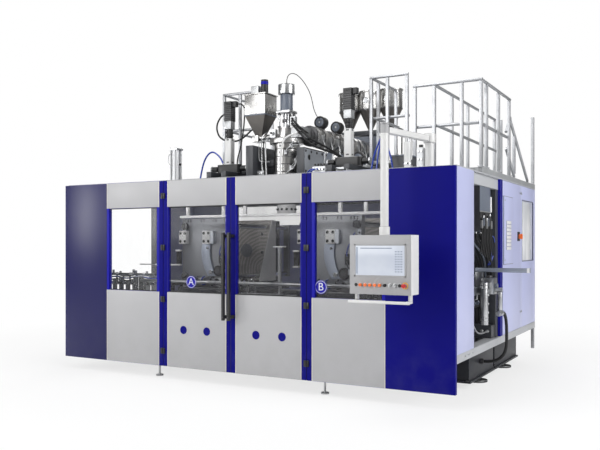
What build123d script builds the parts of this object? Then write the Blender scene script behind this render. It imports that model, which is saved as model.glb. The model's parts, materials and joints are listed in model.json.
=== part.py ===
from build123d import *
import math
import os

# Two-station extrusion blow-moulding machine for canisters.
# Machine axes: X to the right seen from the front, Y into the machine, Z up.
# Machine datum: mid-plane of the front, outer face of the front panels, floor.

os.makedirs("parts", exist_ok=True)

# Fits shared by all pieces
seat = 0.3
slip = 1.5

# Enclosure
half_width = 2480
panel_bottom = 140
panel_top = 2250
body_depth = 3510
panel_depth = 50
sheet = 4
window_low = 985
window_high = 1950
corner_width = 690
jamb = 34
pane = 8
pane_setback = 22

# Front doors
hinge_x = 930
stile = 60
leaf_gap = 3
hinge_count = 4
hinge_pin = 16
hinge_leaf = 28
hinge_height = 64
hinge_plate = 8
hinge_share = 0.082
handle_low = 710
handle_high = 1650
handle_width = 30
handle_offset = 35
handle_reach = 80
handle_bracket = 36

# Base
base_top = 500
base_beam = 80
base_width = 120
pedestal_reach = 2300
pedestal_width = 260
pedestal_low = 80
pedestal_plate = 20
plate_lip = 20
front_pedestal_y = 1060
front_pedestal_length = 980
pedestal_gap = 70
pedestal_rear = 300
pad_diameter = 228
pad_thick = 24
pad_stem = 60
foot_x = 1080
foot_y = 120
foot_diameter = 84
foot_thick = 16
foot_stem = 22
base_bolt = 22
base_bolt_pitch = 130
base_bolt_count = 3
coupling_y = 1480
coupling_z = 240
coupling_size = 56
coupling_length = 45

# Machine frame
post = 100
top_beam = 120
bay_front = 610
bay_rear = 1670
bed_front_y = 850
bed_rear_y = 1750
bed_width = 160
bed_top = 900
bed_clearance = 120
rail_width = 45
rail_height = 35
guide_rod = 40
guide_rod_y = 470
guide_rod_z = 1080
guide_block = 90
hung_rail_y = 540
hung_rail_z = 1840
hung_rail_height = 30
hung_rail_depth = 44
hung_rail_left = 1100
hung_rail_right = 1600
hanger = 36
hanger_shares = (0.04, 0.233, 0.344, 0.796, 0.907)

# Side and rear sheets
fold = 30
rear_panel_count = 3
rear_panel_high = 1830

# Electrical cabinet
cabinet_depth = 600
cabinet_wall = 20
cabinet_post = 85
seam_share = 0.5157
hatch_shares = (0.039, 0.525)
hatch_low = 1300
hatch_high = 2070
hatch_proud = 8
strip_shares = (0.16, 0.403)
strip_low = 1460
strip_high = 1800
strip_proud = 5
strip_cells = 8
lookout_shares = (0.094, 0.859)
lookout_low = 1320
lookout_high = 2070
switch_share = 0.8674
switch_z = 1620
switch_plate = 110
switch_plate_thick = 8
switch_diameter = 62
switch_depth = 26
switch_grip = 16
gear_rows = 3
gear_columns = 5
gear_depth = 180

# Deck and platforms
roof = 10
slot_half = 1100
slot_front = 800
slot_rear = 1700
platform_top = 2320
platform_inner = 1700
platform_front = 930
upper_top = 2500
upper_plate = 40
wing_left_outer = 1100
wing_left_inner = 520
wing_right_inner = 1000
wing_right_outer = 1510
wing_front = 1370
upper_leg = 80

# Guard rails
tube = 34
rail_top = 3245
rail_mid_share = 0.508
upper_rail_top = 3500
upper_mid_share = 0.51
gate_left = 1735
gate_y = 965
outer_rail_x = 2454
outer_rail_end = 2210
inner_rail_x = 1945
rail_inset = 20
gate_post_shares = (0.3, 0.716)
outer_post_shares = (0.16, 0.565, 0.965)
inner_post_count = 4
apex_y = 2350
apex_share = 0.768
apex_knuckle = 48
brace_share = 0.57
slope_inset = 180
knee_share = 0.362
knee_end_y = 2570
left_rail_y = 1395
left_rail_near = 560
left_rail_far = 1057
left_rail_return = 2600
right_rail_y = 1410
right_rail_near = 1030
right_rail_far = 1475
right_rail_return = 2190
left_post_share = 0.5
right_post_share = 0.46
return_post_share = 0.27
base_plate = 90
base_plate_thick = 12

# Access ladder behind the cabinet
ladder_left = 1985
ladder_right = 2415
ladder_reach = 190
ladder_low = 120
ladder_rail = 40
ladder_rung = 30
ladder_count = 8

# Die head on the machine mid-plane
die_y = 1200
ring_low = 1890
ring_high = 2010
ring_diameter = 232
ring_bore = 140
die_gap = 0.8
mandrel_taper = 8
mandrel_nose = 14
neck_diameter = 190
drum_low = 2300
drum_high = 2730
drum_diameter = 300
band_groove = 12
band_depth = 8
band_count = 3
flange_low = 2745
flange_high = 2800
flange_diameter = 410
crown_diameter = 200
crown_high = 2940
rod_diameter = 28
rod_spread = 66
yoke_low = 3120
yoke_high = 3150
yoke_width = 190
actuator_diameter = 155
actuator_high = 3352
cap_diameter = 205
cap_high = 3470
fitting_diameter = 26
fitting_high = 3496
adapter_right = 250
adapter_front = 1130
adapter_low = 2812

# Head support
bridge_low_y = 900
bridge_high_y = 1500
bridge_width = 100
bridge_high = 2350
bridge_half = 1190
beam_right = 250
beam_right_front = 1003
beam_right_rear = 1597
beam_right_high = 2670
beam_left = 300
beam_left_front = 903
beam_left_rear = 1597
beam_left_high = 2720
beam_width = 100
lug_low = 2480
lug_high = 2560
lug_depth = 120
beam_hole_length = 150
beam_hole_height = 90
beam_hole_depth = 40

# Blow units
station_x = 840
girder_offset = 110
girder_width = 70
girder_high = 2430
foot_bar_high = 2540
foot_bar_length = 350
foot_bar_width = 110
barrel_width = 88
barrel_high = 2870
coupling_diameter = 84
coupling_high = 2990
collar_width = 96
collar_high = 3090
motor_width = 104
motor_high = 3340
motor_fin_count = 7
motor_fin_depth = 7
motor_box = 60
motor_box_high = 70
pin_diameter = 44
pin_low = 2100
pin_top = 2800
tip_diameter = 64
tip_high = 2170

# Colour hopper beside the head
hopper_x = 430
hopper_y = 1290
hopper_width = 300
hopper_length = 280
hopper_low = 3140
hopper_high = 3390
hopper_lid = 14
hopper_lip = 12
throat_width = 90
throat_low = 2880
feed_block_low = 2800
feed_tube = 64
feed_tube_z = 2850
feeder_box = 110
feeder_box_high = 110
feeder_motor = 92
feeder_motor_high = 185

# Extruder
screw_x = 200
screw_z = 2860
barrel_front = 1360
barrel_rear = 3050
barrel_core = 180
jacket_diameter = 250
jacket_count = 4
jacket_gap = 30
gearbox_width = 420
gearbox_length = 350
gearbox_high = 3120
drive_diameter = 320
drive_length = 520
drive_x = 190
drive_foot = 60
blower_diameter = 155
blower_depth = 95
blower_z = 3070
blower_near_y = 1690
blower_far_y = 2150
blower_third_x = 520
blower_duct = 70

# Material hoppers
silo_y = 2600
silo_diameter = 300
silo_pitch = 300
silo_low = 3330
silo_high = 3570
silo_lid = 16
silo_lip = 10
silo_spout = 70
silo_cone_low = 3080
silo_count = 3
stand_beam = 60
stand_low = 3000
stand_post = 60

# Control panel
pivot_x = 2130
pivot_y = 300
pivot_plate = 180
pivot_diameter = 84
pivot_high = 2510
boss_diameter = 116
boss_high = 2600
arm_width = 60
arm_low = 2522
arm_high = 2578
drop_x = 1965
drop_y = -440
drop_diameter = 75
drop_low = 1682
drop_cap = 84
drop_cap_high = 14
collar_diameter = 96
panel_width = 584
panel_height = 527
panel_low = 1080
case_depth = 200
case_corner = 18
bezel = 8
screen_width = 465
screen_height = 263
screen_low = 1250
screen_thick = 4
button_z = 1163
button_pitch = 46.6
button_first = 63
button_diameter = 30
button_high = 16
button_travel = 5
selector_high = 22
stop_diameter = 40
stop_stem = 22
stop_high = 30
stop_head = 16
push_count = 5
selector_count = 4
rail_drop = 66
rail_tube = 26
rail_bracket = 24
rail_forward = 40

# Clamp stations
platen_half = 380
platen_low = 1050
platen_high = 1840
platen_thick = 90
front_platen_y = 720
rear_platen_y = 1600
tie_diameter = 60
tie_spread = 330
tie_low = 1130
tie_high = 1745
tie_clear = 1
tie_rear = 2060
tie_nut = 96
tie_nut_thick = 30
tie_bar = 80
tie_bar_thick = 40
carriage_half = 400
carriage_front = 655
carriage_rear = 2030
carriage_low = 936
carriage_high = 1000
guide_x = 300
guide_width = 50
guide_high = 1028
yoke_front = 1930
yoke_half = 250
rod_size = 90
cylinder_outer = 160
cylinder_rear = 2290
cylinder_end = 20
rod_end = 2240
bracket_offsets = (-332, 24)
bracket_width = 112
bracket_low = 1530
bracket_high = 1692
bracket_depth = 34
arm_plate = 26
arm_knee = 1450
arm_base = 1142
arm_knee_left = 95
arm_knee_right = 30
arm_foot_left = 5
arm_foot_right = 125
mould_bolt = 17.5
mould_bolt_x = 400
mould_bolt_z = 300
mould_bolt_depth = 40

# Side service unit
service_y = 1200
service_bar_z = 1254
service_bar = 44
service_reach = 420
service_beam = 80
service_beam_x = 2330
manifold_low = 1000
manifold_high = 1170
manifold_width = 150
manifold_depth = 130
vessel_diameter = 78
vessel_low = 690
vessel_high = 1130
vessel_y = 1010
valve_z = 800
valve_diameter = 60
pipe_diameter = 48
valve_block_low = 1660
valve_block_width = 240
valve_block_depth = 420

# Cords: bends take this share of the shorter run, routes are shares of the reach.
cord_share = 0.45
wire_diameter = 9
wire_rise = 50
wire_shares = (
    (0, 0, 0),
    (0, 0, -0.148),
    (0.21, -0.008, -0.286),
    (0.6, 0, -0.27),
    (0.95, 0.057, -0.095),
    (1.14, 0.184, 0.123),
    (1.19, 0.337, 0.336),
    (1.13, 0.49, 0.548),
    (1.04, 0.633, 0.761),
    (1, 0.796, 0.92),
    (1, 0.899, 1),
    (1, 1, 1),
)
cable_diameter = 18
cable_swing = 120
cable_lean = 28
cable_shares = (
    (0, 0, 0),
    (0.4225, 0, 0),
    (0.788, 0.071, 0.0332),
    (1, 0.179, 0.0906),
    (0.998, 0.286, 0.179),
    (0.956, 0.429, 0.348),
    (0.829, 0.714, 0.528),
    (0.618, 0.929, 0.706),
    (0.392, 1, 0.837),
    (0.181, 0.893, 0.922),
    (0.153, 0.857, 1),
)
hose_diameter = 34
hose_shares = (
    (0, 0, 0),
    (0, 0.431, 0),
    (0, 0.804, 0.0848),
    (0, 1.0205, 0.232),
    (-0.007, 1.036, 0.464),
    (0.0053, 1.027, 0.745),
    (0.2214, 1.018, 0.907),
    (0.5955, 1.0045, 1),
    (1, 1, 1),
)

# The finished part stands on its floor, centred on its box.
front_reach = case_depth / 2 - drop_y + bezel + stop_high + stop_head
origin_x = service_reach / 2
origin_y = (body_depth + ladder_reach - front_reach) / 2


def level(height):
    return Plane(origin=(-origin_x, -origin_y, height))


def facing(depth):
    return Plane(origin=(-origin_x, depth - origin_y, 0), x_dir=(1, 0, 0), z_dir=(0, -1, 0))


def flank(reach):
    return Plane(origin=(reach - origin_x, -origin_y, 0), x_dir=(0, 1, 0), z_dir=(1, 0, 0))


def span(start, end):
    return (min(start, end), max(start, end))


def about(middle, width):
    return (middle - width / 2, middle + width / 2)


def middle(extent):
    return (extent[0] + extent[1]) / 2


def length(extent):
    return extent[1] - extent[0]


# Block between three pairs of machine coordinates.
def slab(x, y, z):
    with BuildSketch(level(z[0])) as outline:
        with Locations((middle(x), middle(y))):
            Rectangle(length(x), length(y))
    extrude(outline.sketch, amount=length(z))


# Round bar between two machine points.
def rod(start, end, diameter, mode=Mode.ADD):
    foot = Vector(*start) - Vector(origin_x, origin_y, 0)
    run = Vector(*end) - Vector(*start)
    with BuildSketch(Plane(foot, z_dir=run)) as section:
        Circle(diameter / 2)
    extrude(section.sketch, amount=run.length, mode=mode)


# Upright round bar.
def column(x, y, z, diameter, mode=Mode.ADD):
    rod((x, y, z[0]), (x, y, z[1]), diameter, mode)


# Folded sheet seen from the front, open at the back.
def front_tray(x, z, depth_at, depth):
    with BuildSketch(facing(depth_at + depth)) as outer:
        with Locations((middle(x), middle(z))):
            Rectangle(length(x), length(z))
    extrude(outer.sketch, amount=depth)
    with BuildSketch(facing(depth_at + depth)) as inner:
        with Locations((middle(x), middle(z))):
            Rectangle(length(x) - 2 * sheet, length(z) - 2 * sheet)
    extrude(inner.sketch, amount=depth - sheet, mode=Mode.SUBTRACT)


# Folded sheet on a side wall, its face outward and its folds inward.
def side_tray(side, y, z, outer_at, depth):
    with BuildSketch(flank(side * (outer_at - depth))) as outer:
        with Locations((middle(y), middle(z))):
            Rectangle(length(y), length(z))
    extrude(outer.sketch, amount=side * depth)
    with BuildSketch(flank(side * (outer_at - depth))) as inner:
        with Locations((middle(y), middle(z))):
            Rectangle(length(y) - 2 * sheet, length(z) - 2 * sheet)
    extrude(inner.sketch, amount=side * (depth - sheet), mode=Mode.SUBTRACT)


def write(piece, name):
    piece.part.label = name
    export_step(piece.part, f"parts/{name}.step")


sides = (-1, 1)
side_names = {-1: "left", 1: "right"}
base_low = base_top - base_beam
top_low = panel_top - top_beam
roof_top = panel_top + roof
front_beam = (panel_depth + seat, panel_depth + seat + base_width)
inner_face = half_width - fold - seat
section_edge = half_width - corner_width
bed_half = half_width - cabinet_depth - bed_clearance
rear_inner = body_depth - fold - seat

# Base frame: side beams, cross beams and welded pedestals.
rear_pedestal_y = front_pedestal_y + front_pedestal_length + pedestal_gap
rear_cross_y = (rear_pedestal_y + body_depth - pedestal_rear) / 2
end_crosses = (front_beam[0] + base_width / 2, rear_inner - base_width / 2)
cross_centres = (*end_crosses, bed_front_y, bed_rear_y, rear_cross_y)
pedestals = (
    (front_pedestal_y, front_pedestal_y + front_pedestal_length),
    (rear_pedestal_y, body_depth - pedestal_rear),
)
with BuildPart() as base_frame:
    for side in sides:
        beam_x = span(side * (half_width - base_width), side * half_width)
        slab(beam_x, (front_beam[0], body_depth), (base_low, base_top))
        pedestal_x = span(side * (pedestal_reach - pedestal_width), side * pedestal_reach)
        for run in pedestals:
            slab(pedestal_x, run, (pedestal_low, base_low - seat))
            plate_x = (pedestal_x[0] - plate_lip, pedestal_x[1] + plate_lip)
            plate_y = (run[0] - plate_lip, run[1] + plate_lip)
            slab(plate_x, plate_y, (pedestal_low - pedestal_plate, pedestal_low - seat))
        with BuildSketch(flank(side * half_width)) as bolt_row:
            with Locations((front_beam[0] + base_bolt_pitch * base_bolt_count, base_top - base_beam / 2)):
                with GridLocations(base_bolt_pitch, base_bolt_pitch, base_bolt_count, 1):
                    Circle(base_bolt / 2)
        extrude(bolt_row.sketch, amount=-side * base_width / 4, mode=Mode.SUBTRACT)
    coupling_x = (pedestal_reach + seat, pedestal_reach + coupling_length)
    rod((coupling_x[0], coupling_y, coupling_z), (coupling_x[1], coupling_y, coupling_z), coupling_size)
    cross_half = half_width - base_width - seat
    for centre in cross_centres:
        slab((-cross_half, cross_half), about(centre, base_width), (base_low, base_top))
write(base_frame, "base_frame")

# Levelling feet: wide pads under the pedestals, slim feet under the front beam.
pad_x = pedestal_reach - pedestal_width / 5
with BuildPart() as levelling_feet:
    for side in sides:
        for run in pedestals:
            column(side * pad_x, middle(run), (0, pad_thick), pad_diameter)
            stem_z = (pad_thick + seat, pedestal_low - pedestal_plate - seat)
            slab(about(side * pad_x, pad_stem), about(middle(run), pad_stem), stem_z)
        column(side * foot_x, foot_y, (0, foot_thick), foot_diameter)
        column(side * foot_x, foot_y, (foot_thick + seat, base_low - seat), foot_stem)
write(levelling_feet, "levelling_feet")

# Machine frame: posts, top beams and the bed for the clamp stations.
post_z = (base_top + seat, top_low - seat)
with BuildPart() as machine_frame:
    for side in sides:
        post_x = span(side * (inner_face - post), side * inner_face)
        for start in (front_beam[0], bay_front - post, bay_rear - post, rear_inner - post):
            slab(post_x, (start, start + post), post_z)
        slab(post_x, (front_beam[0], rear_inner), (top_low, panel_top - seat))
    inner_half = inner_face - post - seat
    slab((-inner_half, inner_half), (front_beam[0], front_beam[0] + post), (top_low, panel_top - seat))
    slab((-inner_half, inner_half), (rear_inner - post, rear_inner), (top_low, panel_top - seat))
    for centre in (slot_front - post / 2, slot_rear + post / 2):
        slab((-inner_half, inner_half), about(centre, post), (top_low, panel_top - seat))
    for centre in (bed_front_y, bed_rear_y):
        slab((-bed_half, bed_half), about(centre, bed_width), (base_top + seat, bed_top))
write(machine_frame, "machine_frame")

# Shift rails on the bed, the guide rod in front of the stations and the rail hung over them.
with BuildPart() as shift_rails:
    for centre in (bed_front_y, bed_rear_y):
        rail_z = (bed_top + seat, bed_top + seat + rail_height)
        slab((-bed_half, bed_half), about(centre, rail_width), rail_z)
    block_x = bed_half - guide_block
    rod((-block_x, guide_rod_y, guide_rod_z), (block_x, guide_rod_y, guide_rod_z), guide_rod)
    for side in sides:
        hold_x = span(side * (block_x + seat), side * bed_half)
        hold_z = (base_top + seat, guide_rod_z + guide_block / 2)
        slab(hold_x, about(guide_rod_y, guide_block), hold_z)
        foot_span = (guide_rod_y + guide_block / 2 + seat, bed_front_y - bed_width / 2 - seat)
        slab(hold_x, foot_span, (bed_top - guide_block, bed_top))
    hung_x = (-hung_rail_left, hung_rail_right)
    hung_z = (hung_rail_z, hung_rail_z + hung_rail_height)
    slab(hung_x, about(hung_rail_y, hung_rail_depth), hung_z)
    for share in hanger_shares:
        hanger_x = about(hung_x[0] + length(hung_x) * share, hanger)
        slab(hanger_x, about(hung_rail_y, hanger), (hung_z[1] + seat, panel_top - seat))
write(shift_rails, "shift_rails")

# Corner panels: folded sheets at both ends of the front.
panel_z = (panel_bottom, panel_top)
with BuildPart() as corner_panels:
    for side in sides:
        front_tray(span(side * (section_edge + seat), side * half_width), panel_z, 0, panel_depth)
write(corner_panels, "corner_panels")

# Window sections: a sheet above and below each fixed window, and its jambs.
post_edge = hinge_x + stile
with BuildPart() as window_sections:
    for side in sides:
        sheet_x = span(side * (post_edge + seat), side * section_edge)
        front_tray(sheet_x, (window_high, panel_top), 0, panel_depth)
        front_tray(sheet_x, (panel_bottom, window_low), 0, panel_depth)
        for edge in (post_edge + seat, section_edge - jamb):
            jamb_x = span(side * edge, side * (edge + jamb - seat))
            slab(jamb_x, (0, panel_depth), (window_low + seat, window_high - seat))
write(window_sections, "window_sections")

# Clear panes of the window sections.
pane_y = (pane_setback, pane_setback + pane)
pane_z = (window_low + seat, window_high - seat)
with BuildPart() as section_panes:
    for side in sides:
        slab(span(side * (post_edge + jamb + seat), side * (section_edge - jamb - seat)), pane_y, pane_z)
write(section_panes, "section_panes")

# Hinge heights, evenly set between the ends of a door.
door_height = panel_top - panel_bottom
hinge_first = panel_bottom + door_height * hinge_share
hinge_step = (door_height - 2 * door_height * hinge_share) / (hinge_count - 1)
hinge_levels = [hinge_first + hinge_step * row for row in range(hinge_count)]
pin_y = -hinge_plate

# Hinge posts with the fixed leaves and the pins.
with BuildPart() as hinge_posts:
    for side in sides:
        slab(span(side * (hinge_x + leaf_gap), side * post_edge), (0, panel_depth), panel_z)
        for height in hinge_levels:
            knuckle_z = about(height, hinge_height)
            column(side * hinge_x, pin_y - hinge_pin / 2, knuckle_z, hinge_pin)
            leaf_x = span(side * (hinge_x + hinge_pin / 2), side * (hinge_x + hinge_leaf))
            slab(leaf_x, (pin_y - hinge_plate, -seat), knuckle_z)
write(hinge_posts, "hinge_posts")

# Side and rear sheets; the right rear is closed by the electrical cabinet.
with BuildPart() as body_panels:
    side_z = (base_top + seat, panel_top)
    for side in sides:
        side_tray(side, (panel_depth + seat, bay_front), side_z, half_width, fold)
    rear_split = (bay_rear + body_depth) / 2
    side_tray(-1, (bay_rear, rear_split - seat), side_z, half_width, fold)
    side_tray(-1, (rear_split, body_depth), side_z, half_width, fold)
    rear_x = (-half_width + fold + seat, half_width - cabinet_depth - seat)
    rear_step = length(rear_x) / rear_panel_count
    for column_number in range(rear_panel_count):
        start = rear_x[0] + rear_step * column_number
        rear_z = (base_top + seat, panel_top if column_number else rear_panel_high)
        with BuildSketch(facing(body_depth - fold)) as outer:
            with Locations((start + rear_step / 2, middle(rear_z))):
                Rectangle(rear_step - leaf_gap, length(rear_z))
        extrude(outer.sketch, amount=-fold)
        with BuildSketch(facing(body_depth - fold)) as inner:
            with Locations((start + rear_step / 2, middle(rear_z))):
                Rectangle(rear_step - leaf_gap - 2 * sheet, length(rear_z) - 2 * sheet)
        extrude(inner.sketch, amount=sheet - fold, mode=Mode.SUBTRACT)
write(body_panels, "body_panels")

# Electrical cabinet: walls, post, mounting plate and switchgear.
cabinet_back = half_width - cabinet_depth
cabinet_front_y = bay_rear + seat
door_plane = half_width - fold
cabinet_z = (base_top + seat, top_low - seat)
gear_plate_x = (cabinet_back + cabinet_wall + seat, cabinet_back + 2 * cabinet_wall)
with BuildPart() as electrical_cabinet:
    slab((cabinet_back, cabinet_back + cabinet_wall), (cabinet_front_y, body_depth - fold), cabinet_z)
    front_wall_x = (cabinet_back + cabinet_wall + seat, door_plane - seat)
    slab(front_wall_x, (cabinet_front_y, cabinet_front_y + cabinet_wall), cabinet_z)
    jamb_y = (cabinet_front_y + cabinet_wall + seat, bay_rear + cabinet_post)
    slab((half_width - cabinet_post, door_plane - seat), jamb_y, cabinet_z)
    slab((door_plane, half_width), (cabinet_front_y, bay_rear + cabinet_post), (base_top + seat, panel_top))
    back_y = (body_depth - fold + seat, body_depth)
    slab((cabinet_back, door_plane - seat), back_y, (base_top + seat, panel_top))
    inside_y = (cabinet_front_y + cabinet_wall + seat, rear_inner - post - seat)
    slab(gear_plate_x, inside_y, (base_top + cabinet_wall + 2 * seat, top_low - cabinet_wall))
    floor_x = (gear_plate_x[1] + seat, half_width - cabinet_post - seat)
    slab(floor_x, inside_y, (base_top + seat, base_top + cabinet_wall))
    row_step = (top_low - base_top) / (gear_rows + 1)
    gear_step = length(inside_y) / (gear_columns + 1)
    for row in range(gear_rows):
        for place in range(gear_columns):
            gear_x = (gear_plate_x[1] + seat, gear_plate_x[1] + gear_depth)
            gear_y = about(inside_y[0] + gear_step * (place + 1), gear_step / 2)
            gear_z = about(base_top + row_step * (row + 1), row_step / 2)
            slab(gear_x, gear_y, gear_z)
write(electrical_cabinet, "electrical_cabinet")

# Cabinet front door with its hatch, indicator strip and switch plate.
door_start = bay_rear + cabinet_post
door_seam = door_start + (body_depth - door_start) * seam_share
door_length = door_seam - door_start
hatch_near, hatch_far = (door_start + door_length * share for share in hatch_shares)
strip_near, strip_far = (door_start + door_length * share for share in strip_shares)
switch_y = door_start + door_length * switch_share
front_door_y = (door_start + leaf_gap, door_seam - leaf_gap / 2)
door_z = (base_top + leaf_gap, panel_top - leaf_gap)
with BuildPart() as cabinet_front_door:
    side_tray(1, front_door_y, door_z, half_width, fold)
    hatch_x = (half_width + seat, half_width + hatch_proud)
    slab(hatch_x, (hatch_near, hatch_far), (hatch_low, hatch_high))
    cell = (strip_high - strip_low) / strip_cells
    for row in range(strip_cells):
        cell_z = (strip_low + cell * row, strip_low + cell * (row + 1) - strip_proud)
        slab((hatch_x[1] + seat, hatch_x[1] + strip_proud), (strip_near, strip_far), cell_z)
    plate_x = (half_width + seat, half_width + switch_plate_thick)
    slab(plate_x, about(switch_y, switch_plate), about(switch_z, switch_plate))
write(cabinet_front_door, "cabinet_front_door")

# Main switch: round knob with a grip bar.
with BuildPart() as main_switch:
    knob_x = (plate_x[1] + seat, plate_x[1] + switch_depth)
    rod((knob_x[0], switch_y, switch_z), (knob_x[1], switch_y, switch_z), switch_diameter)
    grip_x = (knob_x[1], knob_x[1] + switch_grip)
    slab(grip_x, about(switch_y, switch_grip), about(switch_z, switch_diameter))
write(main_switch, "main_switch")

# Cabinet rear door: four rails around a dark lookout pane.
rear_door_y = (door_seam + leaf_gap / 2, body_depth - leaf_gap)
lookout_near, lookout_far = (door_seam + (body_depth - door_seam) * share for share in lookout_shares)
with BuildPart() as cabinet_rear_door:
    rail_x = (door_plane, half_width)
    slab(rail_x, (rear_door_y[0], lookout_near - seat), door_z)
    slab(rail_x, (lookout_far + seat, rear_door_y[1]), door_z)
    slab(rail_x, (lookout_near, lookout_far), (door_z[0], lookout_low - seat))
    slab(rail_x, (lookout_near, lookout_far), (lookout_high + seat, door_z[1]))
    glass_x = (half_width - pane_setback, half_width - pane_setback + pane)
    slab(glass_x, (lookout_near, lookout_far), (lookout_low, lookout_high))
write(cabinet_rear_door, "cabinet_rear_door")

# Top deck: roof plates round the head slot, side platform, extruder platform on legs.
roof_z = (panel_top, roof_top)
upper_z = (upper_top - upper_plate, upper_top)
with BuildPart() as top_deck:
    for side in sides:
        slab(span(side * slot_half, side * half_width), (panel_depth, body_depth), roof_z)
    slab((-slot_half + seat, slot_half - seat), (panel_depth, slot_front), roof_z)
    slab((-slot_half + seat, slot_half - seat), (slot_rear, body_depth), roof_z)
    slab((platform_inner, half_width), (platform_front, body_depth), (roof_top + seat, platform_top))
    centre_front = slot_rear
    slab((-wing_left_outer, -wing_left_inner), (wing_front, body_depth), upper_z)
    slab((wing_right_inner, wing_right_outer), (wing_front, body_depth), upper_z)
    slab((-wing_left_inner + seat, wing_right_inner - seat), (centre_front, body_depth), upper_z)
    leg_z = (roof_top + seat, upper_z[0] - seat)
    for leg_y in (slot_rear + upper_leg, body_depth - upper_leg):
        for leg_x in (-wing_left_outer + upper_leg, wing_right_outer - upper_leg):
            slab(about(leg_x, upper_leg), about(leg_y, upper_leg), leg_z)
write(top_deck, "top_deck")

# Guard rails: square posts, round rails.
top_z = rail_top - tube / 2
post_low = platform_top + base_plate_thick + seat
post_high = rail_top - tube - seat
upper_low = upper_top + seat
upper_post_high = upper_rail_top - tube - seat
upper_top_z = upper_rail_top - tube / 2
rail_height_above = rail_top - platform_top
rail_mid = platform_top + rail_height_above * rail_mid_share
upper_rail_mid = upper_top + (upper_rail_top - upper_top) * upper_mid_share


# Post on its base plate.
def rail_post(x, y, low, high):
    slab(about(x, tube), about(y, tube), (low, high))


with BuildPart() as guard_rails:
    gate_width = outer_rail_x - gate_left
    inner_rail_end = body_depth - rail_inset
    outer_length = outer_rail_end - gate_y
    inner_step = (inner_rail_end - gate_y) / inner_post_count
    post_places = [(gate_left, gate_y), (outer_rail_x, gate_y)]
    post_places += [(gate_left + gate_width * share, gate_y) for share in gate_post_shares]
    post_places += [(outer_rail_x, gate_y + outer_length * share) for share in outer_post_shares]
    post_places += [(inner_rail_x, gate_y + inner_step * (row + 1)) for row in range(inner_post_count)]
    for place_x, place_y in post_places:
        rail_post(place_x, place_y, post_low, post_high)
        plate_z = (platform_top + seat, post_low - seat)
        slab(about(place_x, base_plate / 2), about(place_y, base_plate), plate_z)
    gate_end = outer_rail_x + tube / 2
    rod((gate_left - tube / 2, gate_y, top_z), (gate_end, gate_y, top_z), tube)
    rail_start = gate_y + tube / 2 + seat
    rod((outer_rail_x, rail_start, top_z), (outer_rail_x, outer_rail_end, top_z), tube)
    rod((inner_rail_x, rail_start, top_z), (inner_rail_x, inner_rail_end + tube, top_z), tube)
    inside = tube + seat
    rod((gate_left, gate_y + inside, rail_mid), (outer_rail_x - inside, gate_y + inside, rail_mid), tube)
    mid_start = gate_y + inside + tube
    rod((outer_rail_x - inside, mid_start, rail_mid), (outer_rail_x - inside, outer_rail_end, rail_mid), tube)
    rod((inner_rail_x + inside, mid_start, rail_mid), (inner_rail_x + inside, inner_rail_end, rail_mid), tube)
    slope_x = outer_rail_x - inside
    end_post_y = gate_y + outer_length * outer_post_shares[-1]
    slope_foot = platform_top + tube
    slope_end_y = body_depth - slope_inset
    apex_z = platform_top + rail_height_above * apex_share
    slope_angle = math.atan2(apex_z - slope_foot, slope_end_y - apex_y)
    reach_y = (apex_knuckle / 2 + seat) * math.cos(slope_angle)
    reach_z = (apex_knuckle / 2 + seat) * math.sin(slope_angle)
    rod((slope_x - tube / 2, apex_y, apex_z), (slope_x + tube / 2, apex_y, apex_z), apex_knuckle)
    rod((slope_x, apex_y + reach_y, apex_z - reach_z), (slope_x, slope_end_y, slope_foot), tube)
    brace_z = platform_top + rail_height_above * brace_share
    brace_angle = math.atan2(apex_z - brace_z, apex_y - end_post_y)
    brace_y = (apex_knuckle / 2 + seat) * math.cos(brace_angle)
    brace_rise = (apex_knuckle / 2 + seat) * math.sin(brace_angle)
    rod((slope_x, end_post_y, brace_z), (slope_x, apex_y - brace_y, apex_z - brace_rise), tube)
    knee_start_z = platform_top + rail_height_above * knee_share
    rod((slope_x, end_post_y, knee_start_z), (slope_x, knee_end_y, slope_foot), tube)
    knee_angle = math.atan2(knee_start_z - slope_foot, knee_end_y - end_post_y)
    slope_below = tube / 2 / math.cos(slope_angle) + tube / 2 * math.tan(slope_angle) + seat
    strut_high = apex_z - (knee_end_y - apex_y) * math.tan(slope_angle) - slope_below
    knee_above = tube / 2 / math.cos(knee_angle) + tube / 2 * math.tan(knee_angle) + seat
    slab(about(slope_x, tube), about(knee_end_y, tube), (slope_foot + knee_above, strut_high))
    for end_y, angle in ((slope_end_y, slope_angle), (knee_end_y, knee_angle)):
        sole_y = end_y - tube / 2 * math.sin(angle)
        sole_z = (platform_top + seat, slope_foot - tube / 2 * math.cos(angle) - seat)
        slab(about(slope_x, tube), about(sole_y, tube), sole_z)
    for left_x in (-left_rail_far, -left_rail_far + (left_rail_far - left_rail_near) * left_post_share):
        rail_post(left_x, left_rail_y, upper_low, upper_post_high)
    rail_post(-left_rail_far, left_rail_return, upper_low, upper_post_high)
    right_middle = right_rail_near + (right_rail_far - right_rail_near) * right_post_share
    for right_x in (right_rail_near, right_middle, right_rail_far):
        rail_post(right_x, right_rail_y, upper_low, upper_post_high)
    right_half = right_rail_y + (right_rail_return - right_rail_y) * return_post_share
    for right_y in (right_half, right_rail_return):
        rail_post(right_rail_near, right_y, upper_low, upper_post_high)
    for height, set_back in ((upper_top_z, 0), (upper_rail_mid, inside)):
        left_y = left_rail_y + set_back
        right_y = right_rail_y + set_back
        rod((-left_rail_far - tube / 2, left_y, height), (-left_rail_near, left_y, height), tube)
        rod((right_rail_near - tube / 2, right_y, height), (right_rail_far + tube / 2, right_y, height), tube)
        left_return_x = -left_rail_far + set_back
        right_return_x = right_rail_near + set_back
        start = tube / 2 + seat
        rod((left_return_x, left_y + start, height), (left_return_x, left_rail_return, height), tube)
        rod((right_return_x, right_y + start, height), (right_return_x, right_rail_return, height), tube)
write(guard_rails, "guard_rails")

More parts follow.
